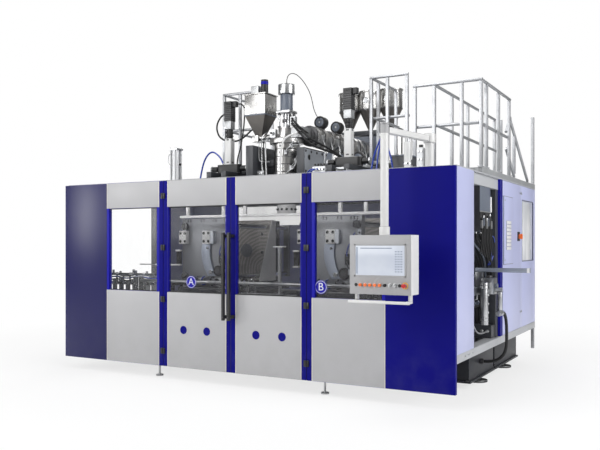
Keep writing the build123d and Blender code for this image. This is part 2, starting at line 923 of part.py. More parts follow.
# Access ladder on the rear wall behind the cabinet.
with BuildPart() as access_ladder:
    ladder_y = body_depth + ladder_reach - ladder_rail
    ladder_z = (ladder_low, rail_top)
    for rail_at in (ladder_left, ladder_right):
        slab(about(rail_at, ladder_rail), (ladder_y, ladder_y + ladder_rail), ladder_z)
        for height in (base_top - base_beam / 2, panel_top - ladder_rail):
            stay_y = (body_depth + seat, ladder_y - seat)
            slab(about(rail_at, ladder_rail), stay_y, about(height, ladder_rail))
    rung_step = (platform_top - ladder_low) / ladder_count
    rung_x = (ladder_left + ladder_rail / 2 + seat, ladder_right - ladder_rail / 2 - seat)
    for row in range(ladder_count):
        rung_z = about(ladder_low + rung_step * (row + 1), ladder_rung)
        slab(rung_x, (ladder_y, ladder_y + ladder_rail), rung_z)
write(access_ladder, "access_ladder")

# Die head: ring with its bore, neck, banded drum, flange and crown.
with BuildPart() as die_head:
    column(0, die_y, (ring_low, ring_high), ring_diameter)
    column(0, die_y, (ring_low, ring_high), ring_bore, Mode.SUBTRACT)
    column(0, die_y, (ring_high + seat, drum_low - seat), neck_diameter)
    band_step = (drum_high - drum_low) / band_count
    column(0, die_y, (drum_low, flange_low - seat), drum_diameter - 2 * band_depth)
    for row in range(band_count):
        band_z = (drum_low + band_step * row, drum_low + band_step * (row + 1) - band_groove)
        column(0, die_y, band_z, drum_diameter)
    column(0, die_y, (flange_low, flange_high), flange_diameter)
    column(0, die_y, (flange_high + seat, crown_high), crown_diameter)
    adapter_y = (adapter_front, barrel_front - seat)
    adapter_x = (crown_diameter / 2 + seat, adapter_right)
    slab(adapter_x, adapter_y, (adapter_low, crown_high))
write(die_head, "die_head")

# Core mandrel: a tapered plug that opens the die gap as it moves down.
with BuildPart() as parison_mandrel:
    nose_radius = ring_bore / 2 - die_gap
    with BuildSketch(level(ring_low - mandrel_nose)):
        with Locations((0, die_y)):
            Circle(nose_radius)
    with BuildSketch(level(ring_high)):
        with Locations((0, die_y)):
            Circle(nose_radius - mandrel_taper)
    loft()
write(parison_mandrel, "parison_mandrel")

# Actuator of the core mandrel on top of the head.
with BuildPart() as parison_actuator:
    for side in sides:
        for depth in sides:
            stand_z = (crown_high + seat, yoke_low - seat)
            column(side * rod_spread, die_y + depth * rod_spread, stand_z, rod_diameter)
    slab(about(0, yoke_width), about(die_y, yoke_width), (yoke_low, yoke_high))
    column(0, die_y, (yoke_high + seat, actuator_high), actuator_diameter)
    column(0, die_y, (actuator_high + seat, cap_high), cap_diameter)
    column(0, die_y, (cap_high + seat, fitting_high), fitting_diameter)
write(parison_actuator, "parison_actuator")

# Bridge over the slot, girders under the blow units, side beams and lugs of the head.
girder_z = (bridge_high + seat, girder_high)
with BuildPart() as head_support:
    for start in (bridge_low_y, bridge_high_y):
        slab((-bridge_half, bridge_half), (start, start + bridge_width), (roof_top + seat, bridge_high))
    girder_y = (bridge_low_y, bridge_high_y + bridge_width)
    for side in sides:
        for offset_side in sides:
            girder_x = about(side * station_x + offset_side * girder_offset, girder_width)
            slab(girder_x, girder_y, girder_z)
    right_x = (beam_right, beam_right + beam_width)
    slab(right_x, (beam_right_front, beam_right_rear), (bridge_high + seat, beam_right_high))
    with BuildSketch(flank(beam_right + beam_width)) as oval:
        with Locations((middle((beam_right_front, beam_right_rear)), middle((girder_high, beam_right_high)))):
            SlotOverall(beam_hole_length, beam_hole_height)
    extrude(oval.sketch, amount=-beam_hole_depth, mode=Mode.SUBTRACT)
    left_x = (-beam_left - beam_width, -beam_left)
    slab(left_x, (beam_left_front, beam_left_rear), (bridge_high + seat, beam_left_high))
    lug_z = (lug_low, lug_high)
    lug_y = about(die_y, lug_depth)
    slab((drum_diameter / 2 + seat, beam_right - seat), lug_y, lug_z)
    slab((-beam_left + seat, -drum_diameter / 2 - seat), lug_y, lug_z)
write(head_support, "head_support")

# Blow units: foot bar, square cylinder, coupling and collar, bored for the pin.
with BuildPart() as blow_units:
    for side in sides:
        unit_x = side * station_x
        foot_z = (girder_high + seat, foot_bar_high)
        with BuildSketch(level(foot_z[0])) as foot_bar:
            with Locations((unit_x, die_y)):
                SlotOverall(foot_bar_length, foot_bar_width)
        extrude(foot_bar.sketch, amount=length(foot_z))
        slab(about(unit_x, barrel_width), about(die_y, barrel_width), (foot_bar_high + seat, barrel_high))
        column(unit_x, die_y, (foot_z[0], pin_top + slip), pin_diameter + 2 * seat, Mode.SUBTRACT)
        column(unit_x, die_y, (barrel_high + seat, coupling_high), coupling_diameter)
        slab(about(unit_x, collar_width), about(die_y, collar_width), (coupling_high + seat, collar_high))
write(blow_units, "blow_units")

# Servo motors of the blow units: grooved bodies with a connector box.
with BuildPart() as blow_motors:
    for side in sides:
        unit_x = side * station_x
        motor_z = (collar_high + seat, motor_high)
        slab(about(unit_x, motor_width), about(die_y, motor_width), motor_z)
        fin_step = length(motor_z) / (motor_fin_count + 1)
        for row in range(motor_fin_count):
            groove_z = about(motor_z[0] + fin_step * (row + 1), fin_step / 3)
            for depth in sides:
                with BuildSketch(facing(die_y + depth * motor_width / 2)) as groove:
                    with Locations((unit_x, middle(groove_z))):
                        Rectangle(motor_width - 2 * motor_fin_depth, length(groove_z))
                extrude(groove.sketch, amount=depth * motor_fin_depth, mode=Mode.SUBTRACT)
        box_x = span(unit_x + motor_width / 2 + seat, unit_x + motor_width / 2 + motor_box)
        slab(box_x, about(die_y, motor_box), (motor_high - motor_box_high, motor_high))
write(blow_motors, "blow_motors")

# Blow pins with their calibrating tips.
for side in sides:
    with BuildPart() as blow_pin:
        unit_x = side * station_x
        column(unit_x, die_y, (tip_high, pin_top), pin_diameter)
        column(unit_x, die_y, (pin_low, tip_high), tip_diameter)
    write(blow_pin, f"{side_names[side]}_blow_pin")

# Colour hopper: bin, funnel, lid, feed block and tube, feeder box and motor.
with BuildPart() as colour_hopper:
    bin_x = about(-hopper_x, hopper_width)
    bin_y = about(hopper_y, hopper_length)
    slab(bin_x, bin_y, (hopper_low + seat, hopper_high))
    lid_x = about(-hopper_x, hopper_width + 2 * hopper_lip)
    lid_y = about(hopper_y, hopper_length + 2 * hopper_lip)
    lid_z = (hopper_high + seat, hopper_high + hopper_lid)
    slab(lid_x, lid_y, lid_z)
    with BuildSketch(level(throat_low)) as throat:
        with Locations((-hopper_x, hopper_y)):
            Rectangle(throat_width, throat_width)
    with BuildSketch(level(hopper_low)) as mouth:
        with Locations((-hopper_x, hopper_y)):
            Rectangle(hopper_width, hopper_length)
    loft([throat.sketch.face(), mouth.sketch.face()])
    block_y = (die_y - feed_tube / 2 - hopper_lip, hopper_y + throat_width / 2)
    slab(about(-hopper_x, throat_width), block_y, (feed_block_low, throat_low - seat))
    tube_x = (-hopper_x + throat_width / 2 + seat, -crown_diameter / 2 - seat)
    rod((tube_x[0], die_y, feed_tube_z), (tube_x[1], die_y, feed_tube_z), feed_tube)
    box_z = (lid_z[1] + seat, lid_z[1] + feeder_box_high)
    slab(about(-hopper_x - feeder_box / 2, feeder_box), about(hopper_y, feeder_box), box_z)
    motor_z = (lid_z[1] + seat, lid_z[1] + feeder_motor_high)
    column(-hopper_x + feeder_motor / 2 + hopper_lip, hopper_y, motor_z, feeder_motor)
write(colour_hopper, "colour_hopper")

# Extruder barrel with its heater jackets.
with BuildPart() as extruder_barrel:
    rod((screw_x, barrel_front, screw_z), (screw_x, barrel_rear, screw_z), barrel_core)
    jacket_step = (barrel_rear - barrel_front) / jacket_count
    for place in range(jacket_count):
        near = barrel_front + jacket_step * place + jacket_gap
        far = barrel_front + jacket_step * (place + 1) - jacket_gap
        rod((screw_x, near, screw_z), (screw_x, far, screw_z), jacket_diameter)
write(extruder_barrel, "extruder_barrel")

# Extruder drive: gearbox behind the barrel, motor beside it, terminal box.
with BuildPart() as extruder_drive:
    gearbox_y = (barrel_rear + seat, barrel_rear + gearbox_length)
    slab(about(screw_x, gearbox_width), gearbox_y, (upper_top + seat, gearbox_high))
    motor_x = -drive_x
    motor_z = upper_top + drive_foot + drive_diameter / 2
    motor_y = (gearbox_y[1] - drive_length, gearbox_y[1])
    rod((motor_x, motor_y[0], motor_z), (motor_x, motor_y[1], motor_z), drive_diameter)
    slab(about(motor_x, drive_diameter / 2), motor_y, (upper_top + seat, upper_top + drive_foot - seat))
    terminal_z = (motor_z + drive_diameter / 2 + seat, motor_z + drive_diameter / 2 + 2 * drive_foot)
    slab(about(motor_x, drive_diameter / 2), about(middle(motor_y), drive_diameter / 2), terminal_z)
write(extruder_drive, "extruder_drive")

# Barrel blowers: round housings on short ducts.
with BuildPart() as barrel_blowers:
    duct_high = blower_z - blower_diameter / 2 - seat
    duct_low = screw_z + jacket_diameter / 2 + seat
    for blower_y in (blower_near_y, blower_far_y):
        rod((screw_x, blower_y, blower_z), (screw_x, blower_y + blower_depth, blower_z), blower_diameter)
        duct_y = about(blower_y + blower_depth / 2, blower_duct)
        slab(about(screw_x, blower_duct), duct_y, (duct_low, duct_high))
    third_z = upper_top + blower_duct + blower_diameter / 2
    third_y = blower_far_y
    third_end = (blower_third_x, third_y + blower_depth, third_z)
    rod((blower_third_x, third_y, third_z), third_end, blower_diameter)
    third_duct_y = about(third_y + blower_depth / 2, blower_duct)
    third_duct_z = (upper_top + seat, third_z - blower_diameter / 2 - seat)
    slab(about(blower_third_x, blower_duct), third_duct_y, third_duct_z)
write(barrel_blowers, "barrel_blowers")

# Material hoppers: steel silos with cones, standing on a beam over the barrel.
with BuildPart() as material_hoppers:
    for place in range(silo_count):
        silo_x = screw_x + silo_pitch * place
        column(silo_x, silo_y, (silo_low + seat, silo_high), silo_diameter)
        column(silo_x, silo_y, (silo_high + seat, silo_high + silo_lid), silo_diameter + 2 * silo_lip)
        with BuildSketch(level(silo_cone_low)) as spout:
            with Locations((silo_x, silo_y)):
                Circle(silo_spout / 2)
        with BuildSketch(level(silo_low)) as shoulder:
            with Locations((silo_x, silo_y)):
                Circle(silo_diameter / 2)
        loft([spout.sketch.face(), shoulder.sketch.face()])
        column(silo_x, silo_y, (stand_low + stand_beam + seat, silo_cone_low - seat), silo_spout)
    stand_near = screw_x - jacket_diameter / 2 - 2 * stand_post
    stand_x = (stand_near, screw_x + silo_pitch * (silo_count - 1) + silo_pitch / 2)
    slab(stand_x, about(silo_y, 2 * stand_beam), (stand_low, stand_low + stand_beam))
    post_z_span = (upper_top + seat, stand_low - seat)
    for post_at in (stand_x[0] + stand_post / 2, stand_x[1] - stand_post / 2):
        slab(about(post_at, stand_post), about(silo_y, stand_post), post_z_span)
write(material_hoppers, "material_hoppers")

# Post of the control panel arm, on the roof.
with BuildPart() as panel_post:
    plate_top = roof_top + base_plate_thick
    slab(about(pivot_x, pivot_plate), about(pivot_y, pivot_plate), (roof_top + seat, plate_top))
    column(pivot_x, pivot_y, (plate_top + seat, pivot_high - seat), pivot_diameter)
write(panel_post, "panel_post")

# Swing arm: boss on the post, beam, and the tube that carries the panel.
arm_dx = drop_x - pivot_x
arm_dy = drop_y - pivot_y
arm_length = math.hypot(arm_dx, arm_dy)
arm_angle = math.degrees(math.atan2(arm_dy, arm_dx))
with BuildPart() as panel_arm:
    column(pivot_x, pivot_y, (pivot_high, boss_high), boss_diameter)
    beam_start = boss_diameter / 2 + seat
    beam_length = arm_length - beam_start - drop_diameter / 2 - seat
    with BuildSketch(level(arm_low)) as arm_beam:
        with Locations(Location((pivot_x, pivot_y), arm_angle)):
            with Locations((beam_start + beam_length / 2, 0)):
                Rectangle(beam_length, arm_width)
    extrude(arm_beam.sketch, amount=arm_high - arm_low)
    column(drop_x, drop_y, (drop_low, boss_high), drop_diameter)
    column(drop_x, drop_y, (boss_high + seat, boss_high + drop_cap_high), drop_cap)
write(panel_arm, "panel_arm")

# Panel housing with its collar and the handle rail below.
panel_x = about(drop_x, panel_width)
panel_front_y = drop_y - case_depth / 2
case_y = (panel_front_y, drop_y + case_depth / 2)
with BuildPart() as panel_housing:
    with BuildSketch(level(panel_low)) as case_outline:
        with Locations((drop_x, middle(case_y))):
            RectangleRounded(panel_width, case_depth, case_corner)
    extrude(case_outline.sketch, amount=panel_height)
    panel_high = panel_low + panel_height
    column(drop_x, drop_y, (panel_high + seat, drop_low - seat), collar_diameter)
    handle_y = panel_front_y - rail_forward
    handle_z = panel_low - rail_drop
    rod((panel_x[0], handle_y, handle_z), (panel_x[1], handle_y, handle_z), rail_tube)
    for edge in (panel_x[0] + rail_bracket, panel_x[1] - 2 * rail_bracket):
        leg_x = (edge, edge + rail_bracket)
        slab(leg_x, (handle_y + rail_tube / 2 + seat, drop_y), about(handle_z, rail_bracket))
        leg_z = (handle_z + rail_bracket / 2 + seat, panel_low - seat)
        slab(leg_x, (drop_y - 2 * rail_bracket, drop_y), leg_z)
write(panel_housing, "panel_housing")

# Front plate of the panel and its screen.
plate_y = (panel_front_y - bezel, panel_front_y - seat)
first_x = panel_x[0] + button_first
stem = button_diameter / 2
with BuildPart() as panel_front:
    slab(panel_x, plate_y, (panel_low, panel_low + panel_height))
    stems = [(first_x + button_pitch * (number + 1), stem) for number in range(push_count)]
    stems.append((first_x + button_pitch * (push_count + selector_count + 1), stop_stem))
    for stem_x, width in stems:
        rod((stem_x, plate_y[0], button_z), (stem_x, plate_y[1], button_z), width + 2 * seat, Mode.SUBTRACT)
write(panel_front, "panel_front")
with BuildPart() as panel_screen:
    screen_y = (plate_y[0] - screen_thick, plate_y[0] - seat)
    slab(about(drop_x, screen_width), screen_y, (screen_low, screen_low + screen_height))
write(panel_screen, "panel_screen")

# Push buttons and selectors in one row; each keeps its travel clear of the plate.
button_face = plate_y[0]
stem_end = button_face + seat
for number in range(push_count):
    with BuildPart() as push_button:
        button_x = first_x + button_pitch * (number + 1)
        near = button_face - button_travel - slip
        rod((button_x, stem_end, button_z), (button_x, near, button_z), stem)
        rod((button_x, near, button_z), (button_x, near - button_high, button_z), button_diameter)
    write(push_button, f"push_button_{number + 1}")
for number in range(selector_count):
    with BuildPart() as selector:
        button_x = first_x + button_pitch * (push_count + number + 1)
        knob_end = (button_x, button_face - button_high, button_z)
        rod((button_x, button_face - seat, button_z), knob_end, button_diameter)
        grip_y = (button_face - selector_high, button_face - button_high)
        slab(about(button_x, button_diameter / 3), grip_y, about(button_z, button_diameter))
    write(selector, f"selector_knob_{number + 1}")
with BuildPart() as emergency_stop:
    stop_x = first_x + button_pitch * (push_count + selector_count + 1)
    neck_y = button_face - stop_high
    rod((stop_x, stem_end, button_z), (stop_x, neck_y, button_z), stop_stem)
    rod((stop_x, neck_y, button_z), (stop_x, neck_y - stop_head, button_z), stop_diameter)
write(emergency_stop, "emergency_stop")

# Front doors: frame, pane and handle for each side.
for side in sides:
    name = side_names[side]
    inner_edge = leaf_gap / 2
    with BuildPart() as door_frame:
        slab(span(side * (hinge_x - stile), side * (hinge_x - leaf_gap)), (0, panel_depth), panel_z)
        slab(span(side * inner_edge, side * stile), (0, panel_depth), panel_z)
        sheet_x = span(side * (stile + seat), side * (hinge_x - stile - seat))
        front_tray(sheet_x, (window_high, panel_top), 0, panel_depth)
        front_tray(sheet_x, (panel_bottom, window_low), 0, panel_depth)
        for height in hinge_levels:
            leaf_x = span(side * (hinge_x - hinge_pin / 2 - slip), side * (hinge_x - hinge_leaf))
            slab(leaf_x, (pin_y - hinge_plate, -seat), about(height, hinge_height))
    write(door_frame, f"{name}_door_frame")
    with BuildPart() as door_pane:
        slab(sheet_x, pane_y, pane_z)
    write(door_pane, f"{name}_door_pane")
    with BuildPart() as door_handle:
        bar_x = about(side * handle_offset, handle_width)
        bar_y = (-handle_reach - handle_width, -handle_reach)
        slab(bar_x, bar_y, (handle_low, handle_high))
        for height in (handle_low + handle_bracket, handle_high - handle_bracket):
            slab(bar_x, (-handle_reach + seat, -seat), about(height, handle_bracket))
    write(door_handle, f"{name}_door_handle")

# Clamp stations: carriage, front platen with tie bars, rear platen with push rod.
tie_places = ((-1, tie_low), (1, tie_low), (-1, tie_high), (1, tie_high))
tie_bore = tie_diameter + 2 * tie_clear
yoke_z = (carriage_high + seat, platen_high)
rod_z = (platen_low + platen_high) / 2


# Four tapped holes for a mould on a platen face that looks along +Y or -Y.
def mould_holes(centre_x, face_y, toward):
    with BuildSketch(facing(face_y)) as holes:
        with Locations((centre_x, rod_z)):
            with GridLocations(mould_bolt_x, mould_bolt_z, 2, 2):
                Circle(mould_bolt / 2)
    extrude(holes.sketch, amount=toward * mould_bolt_depth, mode=Mode.SUBTRACT)


for side in sides:
    name = side_names[side]
    centre_x = side * station_x
    with BuildPart() as carriage:
        plate_z = (carriage_low, carriage_high)
        slab(about(centre_x, 2 * carriage_half), (carriage_front, carriage_rear), plate_z)
        for guide_side in sides:
            guide_at = about(centre_x + guide_side * guide_x, guide_width)
            slab(guide_at, (carriage_front, yoke_front - seat), (carriage_high + seat, guide_high))
        slab(about(centre_x, 2 * yoke_half), (yoke_front, carriage_rear), yoke_z)
        rod_bore = rod_size + 2 * slip
        rod((centre_x, yoke_front, rod_z), (centre_x, carriage_rear, rod_z), rod_bore, Mode.SUBTRACT)
        tube_start = carriage_rear + seat
        rod((centre_x, tube_start, rod_z), (centre_x, cylinder_rear, rod_z), cylinder_outer)
        bore_end = cylinder_rear - cylinder_end
        rod((centre_x, tube_start, rod_z), (centre_x, bore_end, rod_z), rod_bore, Mode.SUBTRACT)
    write(carriage, f"{name}_carriage")
    with BuildPart() as front_platen:
        back_y = front_platen_y + platen_thick
        slab(about(centre_x, 2 * platen_half), (front_platen_y, back_y), (platen_low, platen_high))
        mould_holes(centre_x, back_y, 1)
        for guide_side in sides:
            shoe_x = about(centre_x + guide_side * guide_x, 2 * guide_width)
            slab(shoe_x, (front_platen_y, back_y), (guide_high + seat, platen_low - seat))
        for tie_side, tie_z in tie_places:
            tie_x = centre_x + tie_side * tie_spread
            rod((tie_x, back_y + seat, tie_z), (tie_x, tie_rear, tie_z), tie_diameter)
            nut_y = front_platen_y - tie_nut_thick
            rod((tie_x, front_platen_y - seat, tie_z), (tie_x, nut_y, tie_z), tie_nut)
        for tie_side in sides:
            bar_y = (tie_rear + seat, tie_rear + tie_bar_thick)
            bar_z = (tie_low - tie_bar / 2, tie_high + tie_bar / 2)
            slab(about(centre_x + tie_side * tie_spread, tie_bar), bar_y, bar_z)
        arm_y = (front_platen_y - arm_plate, front_platen_y - seat)
        bracket_z = (bracket_low, bracket_high)
        plain_x, arm_x = (centre_x + offset for offset in bracket_offsets)
        slab(about(plain_x, bracket_width), (arm_y[0] - bracket_depth, arm_y[1]), bracket_z)
        slab(about(arm_x, bracket_width), (arm_y[0] - bracket_depth, arm_y[0] - seat), bracket_z)
        with BuildSketch(facing(arm_y[1])) as arm_outline:
            with BuildLine():
                left_top = (arm_x - bracket_width / 2, bracket_high)
                right_top = (arm_x + bracket_width / 2, bracket_high)
                right_knee = (arm_x + arm_knee_right, arm_knee)
                right_foot = (arm_x + arm_foot_right, arm_base)
                left_foot = (arm_x + arm_foot_left, arm_base)
                left_knee = (arm_x - arm_knee_left, arm_knee)
                Line(left_top, right_top)
                Line(right_top, right_knee)
                TangentArc(right_knee, right_foot, tangent=(0, -1))
                Line(right_foot, left_foot)
                TangentArc(left_knee, left_foot, tangent=(0, -1))
                Line(left_knee, left_top)
            make_face()
        extrude(arm_outline.sketch, amount=length(arm_y))
    write(front_platen, f"{name}_front_platen")
    with BuildPart() as rear_platen:
        back_y = rear_platen_y + platen_thick
        slab(about(centre_x, 2 * platen_half), (rear_platen_y, back_y), (platen_low, platen_high))
        mould_holes(centre_x, rear_platen_y + mould_bolt_depth, 1)
        for tie_side, tie_z in tie_places:
            tie_x = centre_x + tie_side * tie_spread
            rod((tie_x, rear_platen_y, tie_z), (tie_x, back_y, tie_z), tie_bore, Mode.SUBTRACT)
        for guide_side in sides:
            shoe_x = about(centre_x + guide_side * guide_x, 2 * guide_width)
            slab(shoe_x, (rear_platen_y, back_y), (guide_high + seat, platen_low - seat))
        rod((centre_x, back_y + seat, rod_z), (centre_x, rod_end, rod_z), rod_size)
    write(rear_platen, f"{name}_rear_platen")

# Side service unit: beam across the bay, outrigger bar, manifold, vessel, valve and valve block.
with BuildPart() as service_unit:
    beam_x = (service_beam_x, service_beam_x + service_beam)
    beam_y = (bay_front + seat, bay_rear - post - seat)
    beam_z = (manifold_low, manifold_low + service_beam)
    slab(beam_x, beam_y, beam_z)
    bar_z = about(service_bar_z, service_bar)
    riser_z = (beam_z[1] + seat, bar_z[0] - seat)
    slab(beam_x, about(service_y, service_bar), riser_z)
    slab((beam_x[0], half_width + service_reach), about(service_y, service_bar), bar_z)
    block_x = (beam_x[1] + seat, beam_x[1] + manifold_depth)
    block_y = about(service_y, manifold_width)
    slab(block_x, block_y, (manifold_low, manifold_high))
    vessel_x = middle(block_x)
    column(vessel_x, vessel_y, (vessel_low, vessel_high), vessel_diameter)
    link_y = (vessel_y + vessel_diameter / 2 + seat, block_y[0] - seat)
    slab(about(vessel_x, pipe_diameter), link_y, about(middle(beam_z), pipe_diameter))
    pipe_x = block_x[1] + pipe_diameter / 2 + seat
    stub_z = manifold_low + pipe_diameter
    rod((block_x[1] + seat, service_y, stub_z), (pipe_x + pipe_diameter, service_y, stub_z), pipe_diameter)
    drop_at = pipe_x + pipe_diameter / 2
    drop_z = (valve_z + valve_diameter / 2, stub_z - pipe_diameter / 2 - seat)
    column(drop_at, service_y, drop_z, pipe_diameter)
    valve_y = (service_y - valve_diameter, service_y + valve_diameter)
    rod((drop_at, valve_y[0], valve_z), (drop_at, valve_y[1], valve_z), valve_diameter)
    block_y_high = about(middle((bay_front, bay_rear)), valve_block_depth)
    hang_x = (inner_face - valve_block_width, inner_face)
    slab(hang_x, block_y_high, (valve_block_low, top_low - seat))
write(service_unit, "service_unit")


# Tube along a route of straight runs and tangent arcs, as large as the runs allow.
def cord(route, diameter, name):
    points = [Vector(*place) - Vector(origin_x, origin_y, 0) for place in route]
    radii = []
    for before, corner, after in zip(points, points[1:], points[2:]):
        turn = math.radians((corner - before).get_angle(after - corner))
        shorter = min((corner - before).length, (after - corner).length)
        radii.append(cord_share * shorter / math.tan(turn / 2))
    with BuildPart() as line:
        with BuildLine() as path:
            FilletPolyline(*points, radius=radii)
        with BuildSketch(Plane(points[0], z_dir=points[1] - points[0])):
            Circle(diameter / 2)
        sweep(path=path.wire())
    tube_volume = math.pi * diameter * diameter / 4 * path.wire().length
    print(name, "radii", [round(radius) for radius in radii], "length", round(path.wire().length))
    print(name, "volume ratio", round(line.part.volume / tube_volume, 4))
    write(line, name)


# Points of a cord, each a share of the cord's reach along X, Y and Z.
def route(start, reach, shares):
    places = []
    for place in shares:
        places.append([at + size * part for at, size, part in zip(start, reach, place)])
    return places


wire_start = (0, die_y, fitting_high + seat)
wire_reach = (screw_x, blower_near_y - seat - die_y, blower_z + wire_rise - wire_start[2])
cord(route(wire_start, wire_reach, wire_shares), wire_diameter, "head_sensor_wire")

cable_start = (-station_x + motor_width / 2 + motor_box + seat, die_y, motor_high - motor_box_high / 2)
cable_reach = (cable_swing, -cable_lean, foot_bar_high + seat - cable_start[2])
cord(route(cable_start, cable_reach, cable_shares), cable_diameter, "blow_motor_cable")

hose_start = (drop_at, service_y + valve_diameter + seat, valve_z)
hose_reach = (coupling_x[1] + seat - drop_at, coupling_y - hose_start[1], coupling_z - valve_z)
cord(route(hose_start, hose_reach, hose_shares), hose_diameter, "service_hose")
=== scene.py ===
import json
import math

import bmesh
import bpy
from bpy.props import FloatProperty, FloatVectorProperty, IntProperty, PointerProperty
from mathutils import Matrix, Vector


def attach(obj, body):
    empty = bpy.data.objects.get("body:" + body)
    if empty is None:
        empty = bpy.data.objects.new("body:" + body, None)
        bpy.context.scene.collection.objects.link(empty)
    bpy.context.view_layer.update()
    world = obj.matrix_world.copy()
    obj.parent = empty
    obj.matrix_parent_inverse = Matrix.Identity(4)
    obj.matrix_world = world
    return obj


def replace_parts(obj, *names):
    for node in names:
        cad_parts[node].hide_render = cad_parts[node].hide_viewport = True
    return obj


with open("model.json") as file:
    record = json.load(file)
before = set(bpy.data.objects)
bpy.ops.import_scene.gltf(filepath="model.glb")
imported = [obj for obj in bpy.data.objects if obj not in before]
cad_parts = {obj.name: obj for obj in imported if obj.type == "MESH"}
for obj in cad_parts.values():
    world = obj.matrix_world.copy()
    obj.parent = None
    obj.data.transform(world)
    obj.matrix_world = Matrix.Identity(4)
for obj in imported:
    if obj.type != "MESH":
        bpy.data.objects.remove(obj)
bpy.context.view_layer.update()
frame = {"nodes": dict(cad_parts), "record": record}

bl_info = {
    "name": "Canister blow moulding machine",
    "version": (1, 0, 0),
    "blender": (4, 5, 0),
    "location": "View3D > Sidebar > Machine",
    "description": "Finishes and fittings of a two-station blow moulding machine on its packed frame",
    "category": "Object",
}

BODY_OF = {node: body for body, nodes in frame["record"]["behaviour"]["bodies"].items() for node in nodes}
DATUM = Vector((210.0, 1553.0, 0.0))
SIDES = (-1, 1)
SIDE_NAMES = ((-1, "left"), (1, "right"))
FRONT, REAR, UP = (0, -1, 0), (0, 1, 0), (0, 0, 1)
STATION = 840
DIE_Y = 1200
CLAMP_Z = 1445
BUTTON_Z = 1163
SHEET_INSET = 4
ROOF = 2260
REAR_SHEET = 3508
SHEET_ROWS = ((142, 983), (1952, 2248))
LOCK_LEVELS = (700, 1210, 2150)
EVEN = (1.0, 1.0, 1.0)
SHARP_ANGLE = math.radians(32)
FLOOR_HALF = 60.0


def at(x, y, z):
    """Machine millimetres to metres in the row frame."""
    return (Vector((x, y, z)) - DATUM) / 1000


def mirrored(side, near, far):
    """A span of x on the left (-1) or right (1) of the machine."""
    return sorted((side * near, side * far))


def grid(xs, y, zs, facing):
    """Points on an upright plane, each with its facing."""
    return [((x, y, z), facing) for x in xs for z in zs]


def rim_strips(across, up, rim, rim_up=None):
    """The strips about an opening, as (across, up) spans: both sides, then both ends."""
    (a, b), (c, d) = across, up
    end = rim_up or rim
    tall = (c - end, d + end)
    return ((a - rim, a), tall), ((b, b + rim), tall), (across, (c - end, c)), (across, (d, d + end))


def colour_of(name, description, default):
    return FloatVectorProperty(
        name=name, description=description, subtype="COLOR", default=default, min=0, max=1)


def size_of(name, description, default, **limits):
    return FloatProperty(name=name, description=description, unit="LENGTH", default=default, **limits)


class MachineColours(bpy.types.PropertyGroup):
    """Paint colours of the enclosure and the fittings."""
    corner_blue: colour_of(
        "Corner blue", "Corner panels, posts and door stiles", (0.0022, 0.0018, 0.18))
    jamb_blue: colour_of("Jamb blue", "Inner faces of the window openings", (0.008, 0.007, 0.33))
    front_grey: colour_of("Front grey", "Sheets above and below the windows", (0.43, 0.43, 0.44))
    side_lavender: colour_of("Side lavender", "Side sheets and cabinet doors", (0.45, 0.475, 0.7))
    frame_grey: colour_of("Frame grey", "Beams, deck and base", (0.42, 0.43, 0.45))
    panel_white: colour_of("Panel white", "Control panel case, arm and post", (0.72, 0.72, 0.715))
    platen_grey: colour_of("Platen grey", "Ground steel of the clamp platens", (0.34, 0.35, 0.37))


class MachineSizes(bpy.types.PropertyGroup):
    """Sizes of the dressing."""
    edge: size_of("Edge rounding", "Rounding on the edges of plates and beams", 0.003,
                  min=0.0002, max=0.02)
    screw: size_of("Screw head", "Radius of the small screw heads", 0.007, min=0.001)
    slats: IntProperty(
        name="Vent slats", description="Slats in each vent of the rear sheets", default=12, min=2)
    trim: size_of("Edge trim", "Width of the pale trim beside the posts", 0.007, min=0.001)


class Sock:
    """A shader socket that takes part in arithmetic."""

    def __init__(self, tree, socket):
        self.tree = tree
        self.socket = socket

    def _math(self, operation, first, second):
        return self.tree.add("Math", {"operation": operation}, {0: first, 1: second})

    def __add__(self, other):
        return self._math("ADD", self, other)

    def __radd__(self, other):
        return self._math("ADD", other, self)

    def __sub__(self, other):
        return self._math("SUBTRACT", self, other)

    def __rsub__(self, other):
        return self._math("SUBTRACT", other, self)

    def __mul__(self, other):
        return self._math("MULTIPLY", self, other)

    def __rmul__(self, other):
        return self._math("MULTIPLY", other, self)


